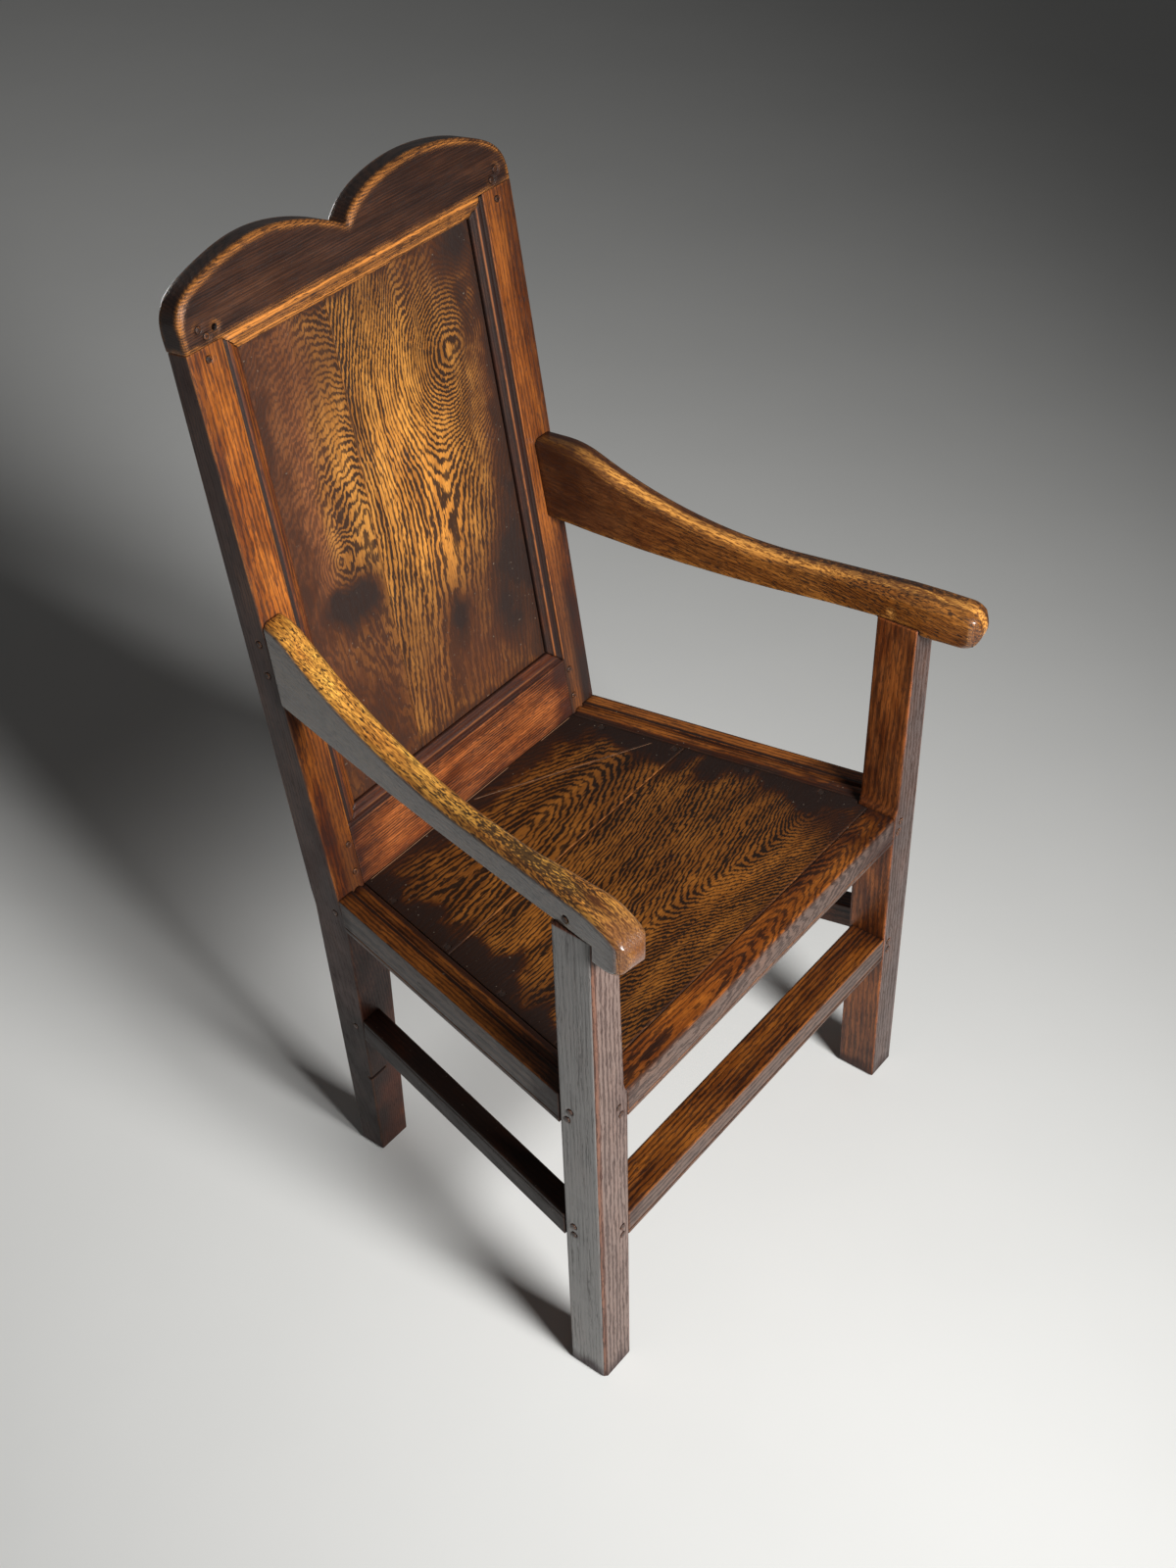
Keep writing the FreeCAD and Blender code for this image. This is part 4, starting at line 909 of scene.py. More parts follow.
    def _wear(self) -> Amount:
        """The wear of the arrises, less in dark and sheltered places.

        Returns:
            The wear.
        """
        arris = self.turned * self.openness.step(self.ARRIS_OPEN)
        chipped = self._noise(self.CHIPS).step(self.CHIP_RISE)
        worn = (arris * self.finish.wear * self.WEAR_ROUGH.of(self.rough) * self.WEAR_STREAKS.of(self.streak)
                * self.WEAR_CHIPS.of(chipped))
        shelter = 1.0 - self._stains(self.figure.sheltered).least(1.0)
        return worn * shelter * (1.0 - self.dark.least(1.0) * self.WEAR_UNDER_DIRT)

    def _colour(self) -> Socket:
        """The wood with its painted sheen, under grime, painted shade, wear, scratches and pale specks.

        Returns:
            The socket of its colour.
        """
        sheet, finish, dirt_and_shade = self.sheet, self.finish, self.dirt_and_shade
        colour = self._painted_sheen(self._wood())
        # The grime and painted shade darken and mute the wood; the heaviest turns to soot.
        muted = sheet.blend((dirt_and_shade * self.MUTING).least(self.MUTING), colour, finish.middle)
        colour = sheet.blend(dirt_and_shade.least(1.0), colour, sheet.tinted(muted, finish.shade))
        crust = ((dirt_and_shade - self.SOOT_START) * self.SOOT_GAIN).least(self.SOOT_MOST).most(0.0)
        colour = sheet.blend(crust, colour, finish.soot)
        glow = sheet.blend(self._marked(self.WORN_MARKS), finish.worn, finish.middle)
        colour = sheet.blend(self.worn.least(self.WORN_MOST), colour, glow)
        if self.figure.scratches:
            colour = sheet.blend(self._scratches(), colour, self.SCRATCH)
        # Pale specks in the dark places, standing for dust and for painted glints.
        if finish.specks:
            dot = self._noise(self.DOTS).step(self.DOT_RISE) * self.dark.least(1.0)
            colour = sheet.blend(dot * finish.specks, colour, self.DUST_AND_GLINT)
        return colour

    def _draw(self) -> bpy.types.Material:
        """Ends in the surface shader, with gloss, relief and wax.

        Returns:
            The material.
        """
        finish = self.finish
        roughness = (finish.roughness + self.pore * self.DULL_PORES + self.line * self.DULL_LINES
                     + self.dirt_and_shade.least(1.0) * self.DULL_DIRT - self.worn * self.POLISHED
                     + self.rough.centred() * self.DULL_ROUGH + self.turned * finish.dull_arris)
        height = (self.LEVEL + self.rough.centred() * self.RELIEF_ROUGH - self.line * self.RELIEF_LINES
                  - self.pore * self.RELIEF_PORES + self.streak.centred() * self.RELIEF_STREAKS)
        coat = (1.0 - self.dirt_and_shade * self.WAX_LOST).most(0.0) * finish.wax
        return self.sheet.finish(self._colour(), roughness, height, self.RELIEF_DEPTH, coat, self.eased,
                                 finish.wax_roughness)


# In these finishes the front and outer tones are painted sheen on the forward and outward faces.
POST_OAK = OakFinish(
    pale=tone(132, 88, 66), middle=tone(104, 66, 51), line=tone(52, 33, 27), worn=tone(104, 70, 57),
    front=tone(104, 86, 78), outer=tone(138, 137, 135), spacing=3.8, line_strength=0.8, wear=1.1,
    painted_side_sheen=0.95, cracks=0.4, wax=0.12, mottle=0.45, streaks=0.5, dull_arris=0.35)
RIGHT_POST_OAK = OakFinish(
    pale=tone(152, 88, 40), middle=tone(117, 66, 32), line=tone(46, 25, 14), worn=tone(190, 104, 46),
    front=tone(78, 65, 61), outer=tone(84, 74, 70), spacing=3.8, line_strength=0.55, wear=0.9,
    painted_side_sheen=0.7, cracks=0.4, wax=0.15, mottle=1, dull_arris=0.2)
LEFT_STILE_OAK = OakFinish(
    pale=tone(178, 104, 36), middle=tone(138, 72, 27), line=tone(54, 28, 14), worn=tone(206, 128, 52),
    outer=tone(80, 76, 74), spacing=3.4, line_strength=0.7, wear=0.8, painted_side_sheen=0.85, cracks=0.3, wax=0.15)
RIGHT_STILE_OAK = replace(
    LEFT_STILE_OAK, pale=tone(140, 80, 30), middle=tone(108, 57, 23), line=tone(44, 23, 13),
    worn=tone(190, 110, 48), outer=tone(70, 64, 60), line_strength=0.6)
CREST_OAK = OakFinish(
    pale=tone(74, 46, 31), middle=tone(53, 32, 23), line=tone(33, 19, 14), worn=tone(214, 136, 62),
    outer=tone(52, 46, 44), spacing=2.6, line_strength=0.6, wear=1.8, wax=0.2, jag=1.6, painted_side_sheen=0.7,
    arris_reach=0.009, arris_turn=0.07, mottle=0.5, streaks=0.9)
BACK_RAIL_OAK = OakFinish(
    pale=tone(156, 88, 43), middle=tone(116, 63, 33), line=tone(46, 24, 14), spacing=3,
    line_strength=0.8, wear=0.75, jag=1.6, wax=0.3, mottle=0.95, streaks=0.9)
RAIL_OAK = OakFinish(
    pale=tone(146, 86, 31), middle=tone(110, 60, 24), line=tone(38, 20, 12), worn=tone(190, 114, 50),
    front=tone(82, 64, 55), outer=tone(61, 55, 52), spacing=4.6, line_strength=0.8, wear=0.8,
    painted_side_sheen=0.85, specks=0.4, cracks=0.3, wax=0.15)
PANEL_OAK = OakFinish(
    pale=tone(174, 120, 54), middle=tone(142, 92, 38), line=tone(46, 28, 14), russet=tone(118, 70, 42),
    line_share=0.5, line_strength=1, dirt_and_shade=0.9, wax=0.15, roughness=0.42, specks=0.35, mottle=0.45,
    streaks=0.5)
SEAT_OAK = OakFinish(
    pale=tone(140, 87, 33), middle=tone(110, 65, 24), line=tone(32, 19, 10), spacing=6.4,
    line_share=0.48, line_strength=1, dirt_and_shade=0.95, wax=0.15, specks=0.5, mottle=0.5, streaks=0.5)
LEFT_ARM_OAK = OakFinish(
    pale=tone(248, 188, 85), middle=tone(222, 149, 64), line=tone(100, 58, 22), outer=tone(104, 102, 101),
    russet=tone(128, 84, 54), spacing=4.2, line_strength=0.5, pores=0.9, pore_start=0.55, wear=0.5,
    painted_side_sheen=0.92, roughness=0.22, wax=1, wax_roughness=0.07, cracks=1, mottle=0.45)
RIGHT_ARM_OAK = replace(
    LEFT_ARM_OAK, pale=tone(174, 112, 48), middle=tone(132, 80, 34), line=tone(74, 42, 18),
    worn=tone(240, 168, 80), russet=tone(96, 58, 34), wear=1.5, painted_side_sheen=0, roughness=0.26, wax=0.9,
    mottle=0.8, arris_reach=0.008, arris_turn=0.1)
PEG_OAK = OakFinish(pale=tone(70, 42, 27), middle=tone(54, 32, 22), line=tone(36, 22, 16), spacing=2)


def ease_arrises(piece: bpy.types.Object, width: float, segments: int) -> None:
    """Rounds the sawn edges of a piece, over its flat faces joined up again.

    Args:
        piece: The piece.
        width: Width of the rounding in metres.
        segments: How many facets it gets.
    """
    weld = piece.modifiers.new("one skin", "WELD")
    weld.merge_threshold = SAME_PLACE
    flat = piece.modifiers.new("flat faces", "DECIMATE")
    flat.decimate_type = "DISSOLVE"
    flat.angle_limit = SAME_PLANE
    bevel = piece.modifiers.new("eased arrises", "BEVEL")
    bevel.width = width
    bevel.segments = segments
    bevel.limit_method = "ANGLE"
    bevel.angle_limit = ARRIS_ANGLE
    bevel.use_clamp_overlap = False
    bevel.harden_normals = False
    normals = piece.modifiers.new("even shading", "WEIGHTED_NORMAL")
    normals.keep_sharp = False
    for polygon in piece.data.polygons:
        polygon.use_smooth = True


def dress(node: str, material: bpy.types.Material, arris: float, segments: int = 2) -> None:
    """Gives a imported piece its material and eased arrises, and reports it.

    Args:
        node: The piece's name.
        material: Its material.
        arris: Width of its eased arrises in metres, or 0 to leave them.
        segments: Facets of the easing.
    """
    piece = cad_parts[node]
    piece.data.materials.clear()
    piece.data.materials.append(material)
    if arris:
        ease_arrises(piece, arris, segments)
    LOG.info("%s: %s", node, material.name)


@dataclass
class Posts:
    """The two front posts and the two rear posts."""

    front_arris: float = 0.0012
    rear_arris: float = 0.00096
    face_edge: float = 180.5
    stile_inner: float = 162
    stile_outer: float = 219.5
    seat_height: float = 427
    moulded_from: float = 76
    foot_dirt: float = 26

    def dress_front(self, side: Side) -> None:
        """Dresses a front post, whose grain runs up it.

        Args:
            side: The post's side.
        """
        node = f"front_post_{side.word}"
        low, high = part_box(node)
        middle = Vector(((low.x + high.x) / 2, (low.y + high.y) / 2, 0.0))
        figure = Figure(
            Heart(side.value * 70, 64), seed=5 * side.value, wave=5, ripple=2,
            margins=(Margin(0, 0, 1, 0, self.foot_dirt),),
            dark=(Stain(self.seat_height, -side.value * 24, 60, 16, 0.5),))
        finish = POST_OAK if side is Side.LEFT else RIGHT_POST_OAK
        dress(node, Oak(node, finish, Plank(middle, UP, ACROSS), figure).material, self.front_arris)

    def mouldings(self, worn: float, grime: float) -> tuple[Band, ...]:
        """The strips along a stile's mouldings and face.

        Args:
            worn: How worn the raised strips are.
            grime: How dirty the mouldings are.

        Returns:
            The strips.
        """
        inner, edge, outer, start = self.stile_inner, self.face_edge, self.stile_outer, self.moulded_from
        return (Band(inner - 2, edge + 1, 1.5, -grime, start),
                Band(inner + 4.5, inner + 6.5, 0.7, -1.6, start),
                Band(edge - 5, edge + 0.4, 0.8, -1.6, start),
                Band(inner + 7, inner + 8.5, 0.7, worn, start),
                Band(edge + 0.6, edge + 2, 0.8, worn + 0.2, start),
                Band(edge + 5, outer - 20, 8, worn * 0.5, 0),
                Band(outer - 9, outer + 9, 6, -0.55))

    def dress_rear(self, side: Side) -> None:
        """Dresses a rear post, whose grain runs up the leaning stile.

        Args:
            side: The post's side.
        """
        node = f"rear_post_{side.word}"
        plank = Plank(DATUM.back_corner(), DATUM.back_up(), ACROSS * side.value)
        # gloom is painted shade on the lower stile, below the arm.
        worn, gloom, grime = (0.2, 0.8, 0.75) if side is Side.LEFT else (0.4, 1.5, 1.3)
        figure = Figure(
            Heart(250, 60 * side.value), seed=9 * side.value, wave=6, ripple=2,
            bands=self.mouldings(worn, grime),
            dark=(Stain(-300, 200, 240, 80, 1.5), Stain(640, 200, 60, 60, 0.5),
                  Stain(60, 190, 150, 60, gloom)),
            margins=(Margin(-self.seat_height, 0, 1, 0, self.foot_dirt),))
        finish = LEFT_STILE_OAK if side is Side.LEFT else RIGHT_STILE_OAK
        dress(node, Oak(node, finish, plank, figure).material, self.rear_arris)

    def dress(self) -> None:
        """Dresses all four."""
        for side in Side:
            self.dress_front(side)
            self.dress_rear(side)


@dataclass
class Back:
    """The crest rail, the lower back rail and the two boards of the panel."""

    panel_half: float = 162
    stile_inner: float = 180.5
    panel_low: float = 93.5
    panel_high: float = 609.5
    shoulder: float = 628
    panel_face: float = 10
    peg_across: float = 201
    peg_up: float = 641
    arris: float = 0.0008

    def upright(self) -> Plank:
        """A plank that stands in the leaning plane of the back."""
        return Plank(DATUM.back_corner(), DATUM.back_up(), ACROSS)

    def lying(self) -> Plank:
        """A plank that lies across in the leaning plane of the back."""
        return Plank(DATUM.back_corner(), ACROSS, DATUM.back_up())

    def panel_margins(self) -> tuple[Margin, ...]:
        """Dirt along the panel's four edges."""
        return (Margin(0, -self.panel_half, 0, 1, 60), Margin(0, self.panel_half, 0, -1, 62, 1.3),
                Margin(self.panel_low, 0, 1, 0, 24), Margin(self.panel_high, 0, -1, 0, 14))

    def dress_right_board(self) -> None:
        """The wide board: arches nested under a knot, then long lines beside a leaning heart."""
        figure = Figure(
            Heart(48, self.panel_face + 26, 0.16, 260),
            knots=(Knot(490, 122, 98, 84, -66, Swell.CONE), Knot(492, 130, 94, 185, -76),
                   Knot(570, 42, 50, 14, -18)),
            dark=(Stain(595, 140, 54, 50, 1.3), Stain(476, 130, 16, 12, 0.9), Stain(215, 140, 100, 44, 1.1),
                  Stain(110, 60, 110, 150, 0.7), Stain(215, 60, 50, 150, 0.4), Stain(340, 156, 90, 26, 1),
                  Stain(210, 46, 34, 14, 0.9), Stain(590, 30, 30, 70, 0.5)),
            bright=(Stain(410, 20, 110, 60, 0.8), Stain(320, 50, 70, 45, 0.8), Stain(120, 78, 24, 26, 0.3)),
            russet=(Stain(150, 70, 90, 120, 1), Stain(420, 165, 150, 40, 0.8), Stain(610, 110, 50, 80, 0.8)),
            margins=self.panel_margins(), seed=2, wave=14, ripple=8)
        board = Oak("panel_oak_right", PANEL_OAK, self.upright(), figure)
        dress("back_panel_right_board", board.material, 0)

    def dress_left_board(self) -> None:
        """The narrow board: arches by the seam over a swirl, and dark below it."""
        figure = Figure(
            Heart(-62, self.panel_face + 18, -0.08, 420, steep=0.62),
            climbs=(Climb(385, 60, 0.8), Climb(300, 60, 0.22, -1)),
            knots=(Knot(350, -100, 40, 34, -38, Swell.CONE),),
            dark=(Stain(300, -92, 26, 44, 1.7), Stain(140, -105, 150, 90, 1.15),
                  Stain(560, -125, 70, 55, 0.4), Stain(560, -60, 60, 40, 0.5),
                  Stain(318, -116, 9, 8, 0.8), Stain(420, -146, 110, 18, 0.4)),
            russet=(Stain(470, -136, 200, 34, 1.3), Stain(560, -110, 80, 50, 0.9),
                    Stain(150, -100, 120, 80, 1.2), Stain(330, -140, 60, 26, 0.8)),
            bright=(Stain(450, -56, 60, 24, 0.3),),
            margins=self.panel_margins(), seed=6, wave=18, ripple=15)
        dress("back_panel_left_board", Oak("panel_oak_left", PANEL_OAK, self.upright(), figure).material, 0)

    def dress_crest(self) -> None:
        """The crest rail, dark between its worn arches and its moulded lower edge."""
        figure = Figure(
            Heart(1000, 40), seed=3, wave=5, ripple=1.4, dark=(Stain(120, 655, 90, 50, 0.35),),
            sheltered=tuple(Stain(side.value * self.peg_across, self.peg_up, 14, 14, 1.4) for side in Side),
            bands=(Band(self.panel_high + 3, self.panel_high + 6, 1, 0.8),
                   Band(self.shoulder - 5, self.shoulder - 1.5, 1, 0.85)))
        dress("crest_rail", Oak("crest_oak", CREST_OAK, self.lying(), figure).material, self.arris)

    def dress_lower_rail(self) -> None:
        """The lower back rail, dark along its moulding and at its ends."""
        figure = Figure(
            Heart(240, 60), seed=8, wave=6, ripple=2,
            margins=(Margin(-self.stile_inner, 0, 1, 0, 50), Margin(self.stile_inner, 0, -1, 0, 60)),
            bands=(Band(self.panel_low - 19, self.panel_low + 2, 1.5, -0.95),
                   Band(self.panel_low - 11, self.panel_low - 8.5, 1, 0.2)))
        rail = Oak("back_rail_oak", BACK_RAIL_OAK, self.lying(), figure)
        dress("lower_back_rail", rail.material, self.arris)

    def dress(self) -> None:
        """Dresses the four pieces."""
        self.dress_crest()
        self.dress_lower_rail()
        self.dress_right_board()
        self.dress_left_board()


@dataclass
class Seat:
    """The three seat rails and the two seat boards."""

    front_arris: float = 0.001
    side_arris: float = 0.0006
    joint: float = 258
    back_edge: float = 398
    dust_line: float = 399.9
    corner_across: float = 48
    corner_along: float = 250
    side_dirt: float = 66
    side_gloom: float = 1.8

    def board_plank(self) -> Plank:
        """A plank that lies level from side to side."""
        return Plank(DATUM.seat_corner(), ACROSS, BACKWARDS)

    def side_margins(self) -> tuple[Margin, ...]:
        """Dirt where the boards meet the side rails."""
        turn = DATUM.side_turn
        return tuple(Margin(side.value * self.corner_along, self.corner_across, -side.value * math.cos(turn),
                            -math.sin(turn), self.side_dirt, self.side_gloom) for side in Side)

    def dress_front_board(self) -> None:
        """The wide front board: lines nested round a leaning heart, and a small knot."""
        figure = Figure(
            Heart(117, -12, -0.19, -40), climbs=(Climb(-130, 120, -0.46),),
            knots=(Knot(190, 84, 40, 34, -18, Swell.CONE),), spread=0.74,
            dark=(Stain(205, 60, 40, 60, 1), Stain(0, 36, 300, 6, 0.4), Stain(-214, 190, 26, 70, 0.9),
                  Stain(50, 163, 4, 3, 1.4)),
            bright=(Stain(60, 90, 150, 50, 0.4), Stain(-150, 200, 60, 30, 0.4)),
            margins=self.side_margins() + (Margin(0, 34, 0, 1, 5),), seed=12, wave=16, ripple=8)
        dress("seat_board_front", Oak("seat_oak_front", SEAT_OAK, self.board_plank(), figure).material, 0)

    def dress_rear_board(self) -> None:
        """The rear board: long arches, a split with its pale lips, dust at the back and a worn joint."""
        figure = Figure(
            Heart(316, -12, -0.03, 60), climbs=(Climb(20, 60, 0.5), Climb(20, 60, -0.08, -1)),
            dark=(Stain(190, 385, 60, 50, 1.1), Stain(-60, self.back_edge, 200, 22, 0.9),
                  Stain(-190, 370, 40, 50, 0.7)),
            scratches=(Scratch(-4.4, 394.8, 191, 294.6, 0.9),
                       Scratch(-170, self.dust_line, 60, self.dust_line, 0.7),
                       Scratch(120, self.dust_line, 172, self.dust_line, 0.7)),
            bright=(Stain(-160, 300, 60, 40, 0.3),),
            bands=(Band(self.joint - 0.4, self.joint + 1, 0.5, 0.4),),
            margins=self.side_margins() + (Margin(0, self.back_edge, 0, -1, 36, 1.3),),
            seed=14, wave=18, ripple=10)
        dress("seat_board_rear", Oak("seat_oak_rear", SEAT_OAK, self.board_plank(), figure).material, 0)

    def dress_front_rail(self) -> None:
        """Dresses the front rail, dark at both ends."""
        plank = self.board_plank()
        (left, right), _, _ = plank.span("front_seat_rail")
        figure = Figure(
            Heart(16, -8, 0.02), climbs=(Climb(-30, 80, 0.3),), seed=16, wave=16, ripple=8,
            margins=(Margin(left, 0, 1, 0, 40), Margin(right, 0, -1, 0, 120)),
            bright=(Stain(-100, 15, 170, 30, 1),))
        dress("front_seat_rail", Oak("front_rail_oak", RAIL_OAK, plank, figure).material, self.front_arris)

    def dress_side_rail(self, side: Side) -> None:
        """Dresses a side rail: a dark moulded inner edge and a worn outer band.

        Args:
            side: The rail's side.
        """
        node = f"side_seat_rail_{side.word}"
        run = DATUM.side_run(side)
        plank = Plank(DATUM.seat_corner(), run, UP.cross(run) * -side.value)
        (front, back), (inner, outer), _ = plank.span(node)
        worn = 0.35 if side is Side.RIGHT else 0.12
        figure = Figure(
            Heart(inner - 60, 30), seed=18 + side.value, wave=6, ripple=3,
            bands=(Band(outer - 15, outer - 1, 2.5, worn), Band(outer - 19.5, outer - 16.5, 1, -1.8),
                   Band(outer - 31, outer - 23, 2, worn * 0.4), Band(inner - 2, outer - 33, 2, -1.3)),
            margins=(Margin(front, 0, 1, 0, 110, 1.3), Margin(back, 0, -1, 0, 50, 1.2)))
        dress(node, Oak(node, RAIL_OAK, plank, figure).material, self.side_arris)

    def dress(self) -> None:
        """Dresses rails and boards."""
        self.dress_front_rail()
        for side in Side:
            self.dress_side_rail(side)
        self.dress_front_board()
        self.dress_rear_board()


@dataclass
class Stretchers:
    """The front stretcher and the two side stretchers."""

    arris: float = 0.0014
    end_dirt: float = 60
    # Painted shade on the side stretchers, which lie under the seat.
    left_painted_shade: float = 1.5
    right_painted_shade: float = 0.9

    def dress_one(self, node: str, along: Vector, seed: float, gloom: float) -> None:
        """Dresses one of the low rails, dark at its ends, with any painted shade along its middle.

        Args:
            node: The rail's name.
            along: The way it runs.
            seed: Sets its grain apart from the others.
            gloom: How strongly painted shade darkens its middle, under the seat.
        """
        low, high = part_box(node)
        plank = Plank(Vector((0.0, low.y, high.z)), along, UP.cross(along))
        (start, end), (near, far), _ = plank.span(node)
        middle = (near + far) / 2
        figure = Figure(
            Heart(middle - 70, -50), seed=seed, wave=5, ripple=2,
            # The gloom stain is painted shade from the seat above.
            dark=(Stain((start + end) / 2, middle, 400, 200, gloom),) if gloom else (),
            margins=(Margin(start, 0, 1, 0, self.end_dirt), Margin(end, 0, -1, 0, self.end_dirt)))
        dress(node, Oak(node, RAIL_OAK, plank, figure).material, self.arris)

    def dress(self) -> None:
        """Dresses the three low rails."""
        self.dress_one("front_stretcher", ACROSS, 21, 0)
        self.dress_one("side_stretcher_left", DATUM.side_run(Side.LEFT), 22, self.left_painted_shade)
        self.dress_one("side_stretcher_right", DATUM.side_run(Side.RIGHT), 24, self.right_painted_shade)


@dataclass
class Arms:
    """The two open arms."""

    arris: float = 0.0022
    facets: int = 3
    chord_fall: float = math.radians(10)
    turn: float = 0.1539
    crown_in: float = 14
    ridge_wide: float = 11
    left_heel_dirt: float = 16
    right_heel_dirt: float = 130

    def plank(self, side: Side) -> Plank:
        """How an arm lies in its plank, whose grain runs from the nose up to the stile.

        Args:
            side: The arm's side.

        Returns:
            The plank.
        """
        run = Vector((-side.value * math.sin(self.turn), math.cos(self.turn), 0.0))
        along = (run * math.cos(self.chord_fall) + UP * math.sin(self.chord_fall)).normalized()
        low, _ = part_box(f"arm_{side.word}")
        return Plank(Vector((0.0, low.y, low.z)), along, UP.cross(run).normalized() * -side.value)

    def dress_one(self, side: Side) -> None:
        """Dresses an arm: dirty at the heel, pitted behind the nose, the right one worn along a ridge.

        Args:
            side: The arm's side.
        """
        node = f"arm_{side.word}"
        plank = self.plank(side)
        (nose, heel), (inner, outer), _ = plank.span(node)
        middle = outer - self.crown_in
        if side is Side.LEFT:
            finish, heel_dirt, ridge = LEFT_ARM_OAK, self.left_heel_dirt, ()
            russet = (Stain(nose + 8, middle, 34, 60, 1.1), Stain(nose + 80, middle, 60, 24, 0.2))
        else:
            finish, heel_dirt = RIGHT_ARM_OAK, self.right_heel_dirt
            ridge = (Band(middle - self.ridge_wide, middle, 2.5, 0.75),)
            russet = (Stain(heel - 70, middle, 110, 90, 1.1),)
        figure = Figure(
            Heart(inner - 20, 70), seed=27 + side.value, wave=16, ripple=8, russet=russet, bands=ridge,
            dark=(Stain(nose + 2, middle, 14, 40, 0.8), Stain(nose + 58, middle - 4, 22, 6, 1),
                  Stain(nose + 190, outer - 4, 110, 4, 0.7)),
            pitted=(Stain(nose + 95, middle, 70, 14, 1.2), Stain(nose + 190, middle, 70, 8, 1)),
            margins=(Margin(heel, 0, -1, 0, heel_dirt),))
        dress(node, Oak(node, finish, plank, figure).material, self.arris, self.facets)

    def dress(self) -> None:
        """Dresses both arms."""
        for side in Side:
            self.dress_one(side)


@dataclass
class Fastenings:
    """The pegs and the nails."""

    pegged: tuple[str, ...] = ("crest", "back_rail", "seat_rail", "stretcher", "arm")
    peg_arris: float = 0.0006
    iron: Tone = tone(34, 28, 25)
    rust: Tone = tone(58, 36, 25)
    rust_grain: float = 700
    rust_rise: Rise = Rise(0.45, 0.7)
    rust_relief: float = 0.0002
    iron_gloss: Sway = Sway(0.5, 0.3)
    oil: float = 0.1

    def wrought_iron(self) -> bpy.types.Material:
        """Dark iron with a little rust.

        Returns:
            The material.
        """
        sheet = Sheet(bpy.data.materials.new("wrought_iron"))
        speck = sheet.noise(sheet.scaled_place(self.rust_grain), 3, 0.6)
        colour = sheet.blend(speck.step(self.rust_rise), self.iron, self.rust)
        return sheet.finish(colour, self.iron_gloss.of(speck), speck, self.rust_relief, speck * self.oil)

    def dress(self) -> None:
        """Dresses pegs and nails."""
        plank = Plank(Vector((0.0, 0.0, 0.0)), BACKWARDS, ACROSS)
        for number, place in enumerate(self.pegged):
            node = f"{place}_pegs"
            figure = Figure(Heart(0, 0), seed=31 + number)
            dress(node, Oak(node, PEG_OAK, plank, figure).material, self.peg_arris)
        dress("seat_nails", self.wrought_iron(), 0)


@dataclass(frozen=True)
class Lamp:
    """A round soft light: its place from the seat's front edge, its way, its width and its power."""

    name: str
    place: tuple[float, float, float]
    turn: float
    fall: float
    size: float
    spread: float
    power: float

    def build(self) -> None:
        """Hangs the lamp."""
        light = bpy.data.lights.new(self.name, "AREA")
        light.shape = "DISK"
        light.size = self.size
        light.spread = self.spread
        light.energy = self.power
        lamp = bpy.data.objects.new(self.name, light)
        x, y, z = self.place
        lamp.location = (x, y + DATUM.front, z)
        lamp.rotation_euler = aim(self.turn, self.fall).to_track_quat("-Z", "Y").to_euler()
        bpy.context.scene.collection.objects.link(lamp)


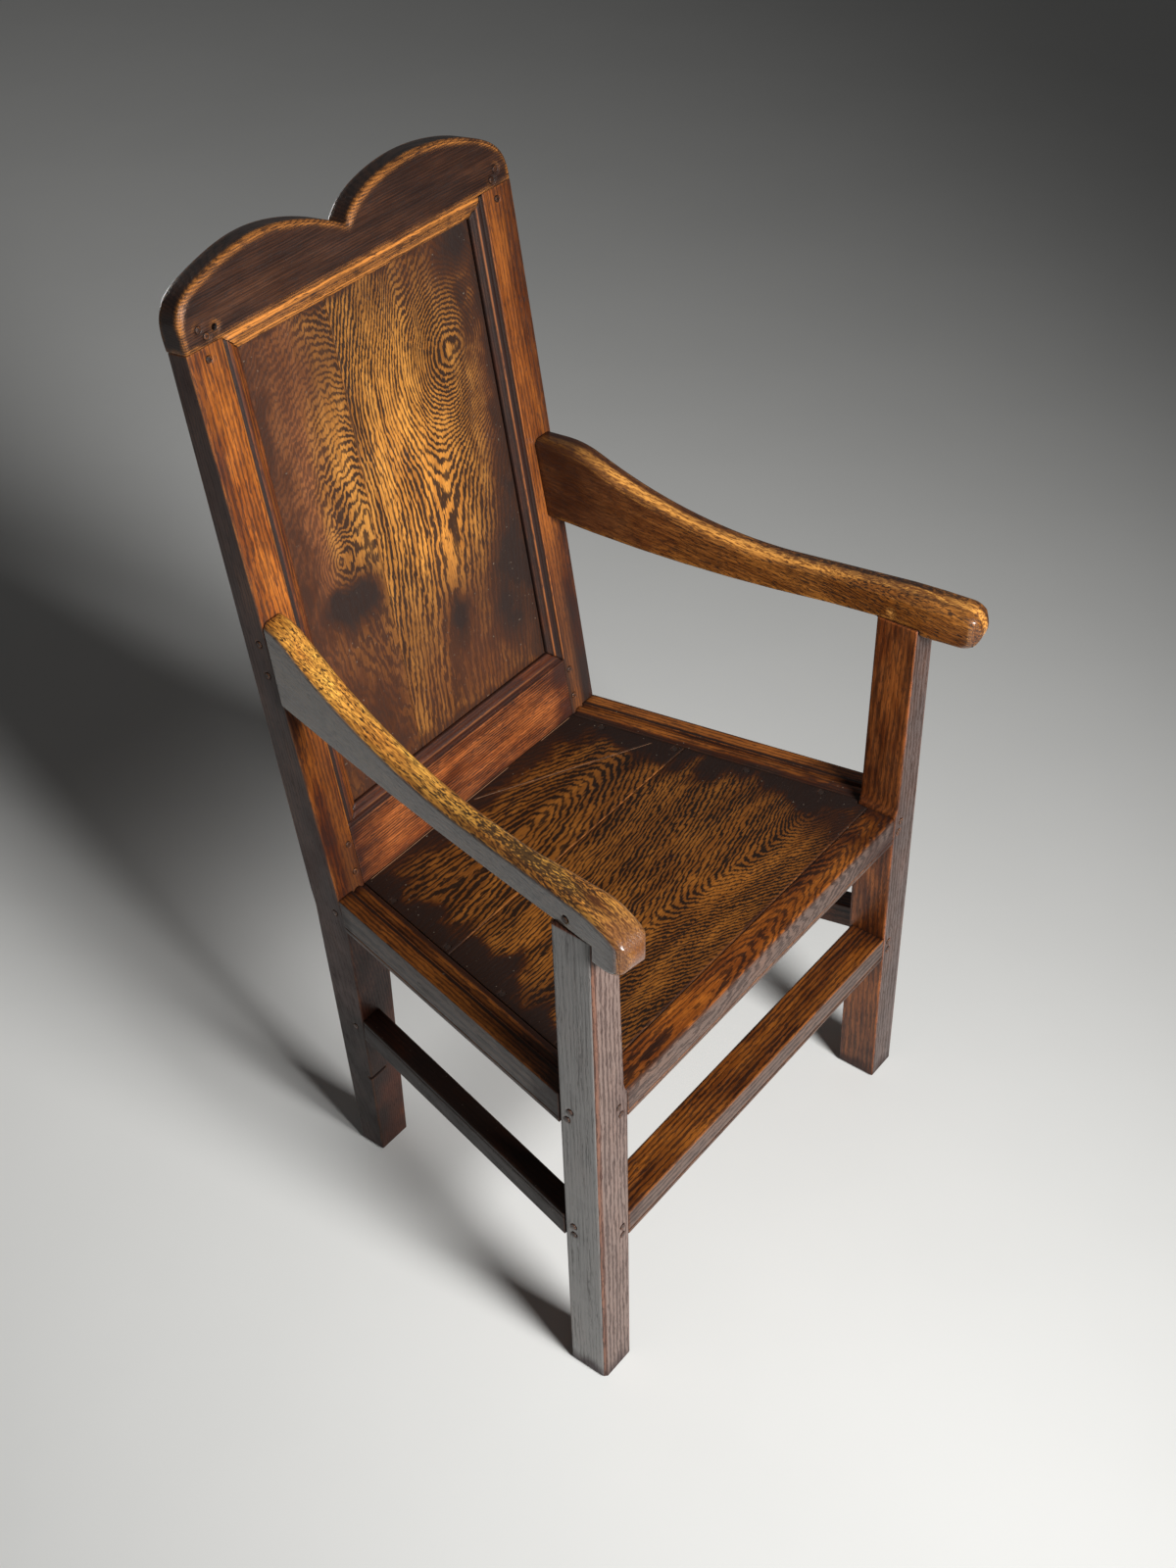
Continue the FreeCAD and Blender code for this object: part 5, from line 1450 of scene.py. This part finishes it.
@dataclass
class Studio:
    """The pale floor, the soft key light, a weak light behind and the dim surroundings."""

    floor_half: float = 14.0
    floor_tone: Tone = tone(232, 232, 229)
    cloud_tone: Tone = tone(206, 207, 204)
    cloud_scale: float = 2.2
    cloud_layers: float = 4.0
    cloud_finer: float = 0.55
    cloud_rise: Rise = Rise(0.3, 0.75)
    cloud_share: float = 0.12
    floor_gloss: Sway = Sway(0.55, 0.1)
    floor_relief: float = 0.0004
    key: Lamp = Lamp("key", (-0.573, -2.704, 1.839), math.radians(8.5), math.radians(24.0), 1.2,
                     math.radians(66.0), 33.0)
    behind: Lamp = Lamp("behind", (0.5, 3.2, 0.8), math.radians(190.0), math.radians(-3.0), 0.8,
                        math.radians(30.0), 1.8)
    fill: float = 0.04
    backdrop: float = 0.12

    def floor(self) -> None:
        """Lays the floor under the feet."""
        half = self.floor_half
        mesh = bpy.data.meshes.new("floor")
        corners = [(-half, -half, 0.0), (half, -half, 0.0), (half, half, 0.0), (-half, half, 0.0)]
        mesh.from_pydata(corners, [], [(0, 1, 2, 3)])
        floor = bpy.data.objects.new("floor", mesh)
        bpy.context.scene.collection.objects.link(floor)
        sheet = Sheet(bpy.data.materials.new("pale_floor"))
        cloud = sheet.noise(sheet.scaled_place(self.cloud_scale), self.cloud_layers, self.cloud_finer)
        colour = sheet.blend(cloud.step(self.cloud_rise) * self.cloud_share, self.floor_tone, self.cloud_tone)
        gloss = self.floor_gloss.of(cloud)
        mesh.materials.append(sheet.finish(colour, gloss, cloud, self.floor_relief, 0.0))

    def surroundings(self) -> None:
        """Sets the dim light all round, with a paler wall for the camera."""
        world = bpy.data.worlds.new("studio")
        bpy.context.scene.world = world
        sheet = Sheet(world)
        path = sheet.node("ShaderNodeLightPath", {}, {})
        camera, glossy = (Amount(sheet, path.outputs[f"Is {ray} Ray"]) for ray in ("Camera", "Glossy"))
        direct = camera.most(glossy)
        dim = sheet.node("ShaderNodeBackground", {}, {"Color": WHITE, "Strength": self.fill})
        seen = sheet.node("ShaderNodeBackground", {}, {"Color": WHITE, "Strength": self.backdrop})
        mixed = sheet.node("ShaderNodeMixShader", {}, {0: direct, 1: dim.outputs[0], 2: seen.outputs[0]})
        sheet.node("ShaderNodeOutputWorld", {}, {"Surface": mixed.outputs[0]})

    def build(self) -> None:
        """Builds floor, light and surroundings."""
        self.floor()
        self.key.build()
        self.behind.build()
        self.surroundings()
        bpy.context.scene.view_settings.view_transform = "Standard"


@dataclass
class Viewpoint:
    """The camera, worked out from the chair's straight edges in the photograph."""

    place: tuple[float, float, float] = (-1.28348, -0.80944, 1.94191)
    turn: float = math.radians(50.873)
    fall: float = math.radians(40.525)
    roll: float = math.radians(-1.846)
    focal: float = 2112.43
    picture_height: float = 1600.0
    sensor: float = 36.0
    far_end: float = 60.0

    def build(self) -> None:
        """Sets up the camera."""
        data = bpy.data.cameras.new("camera")
        data.sensor_fit = "AUTO"
        data.sensor_width = self.sensor
        data.lens = self.focal * self.sensor / self.picture_height
        data.clip_end = self.far_end
        camera = bpy.data.objects.new("camera", data)
        forward = aim(self.turn, self.fall)
        right = Vector((math.cos(self.turn), -math.sin(self.turn), 0.0))
        up = right.cross(forward)
        right_rolled = right * math.cos(self.roll) + up * math.sin(self.roll)
        up_rolled = up * math.cos(self.roll) - right * math.sin(self.roll)
        matrix = Matrix((right_rolled, up_rolled, -forward)).transposed().to_4x4()
        x, y, z = self.place
        matrix.translation = Vector((x, y + DATUM.front, z))
        camera.matrix_world = matrix
        bpy.context.scene.collection.objects.link(camera)
        bpy.context.scene.camera = camera


def main() -> None:
    """Builds the studio and dresses every piece of the chair."""
    logging.basicConfig(level=logging.INFO, format="%(message)s")
    Viewpoint().build()
    Studio().build()
    for assembly in (Posts(), Back(), Seat(), Stretchers(), Arms(), Fastenings()):
        assembly.dress()


if __name__ == "__main__":
    main()
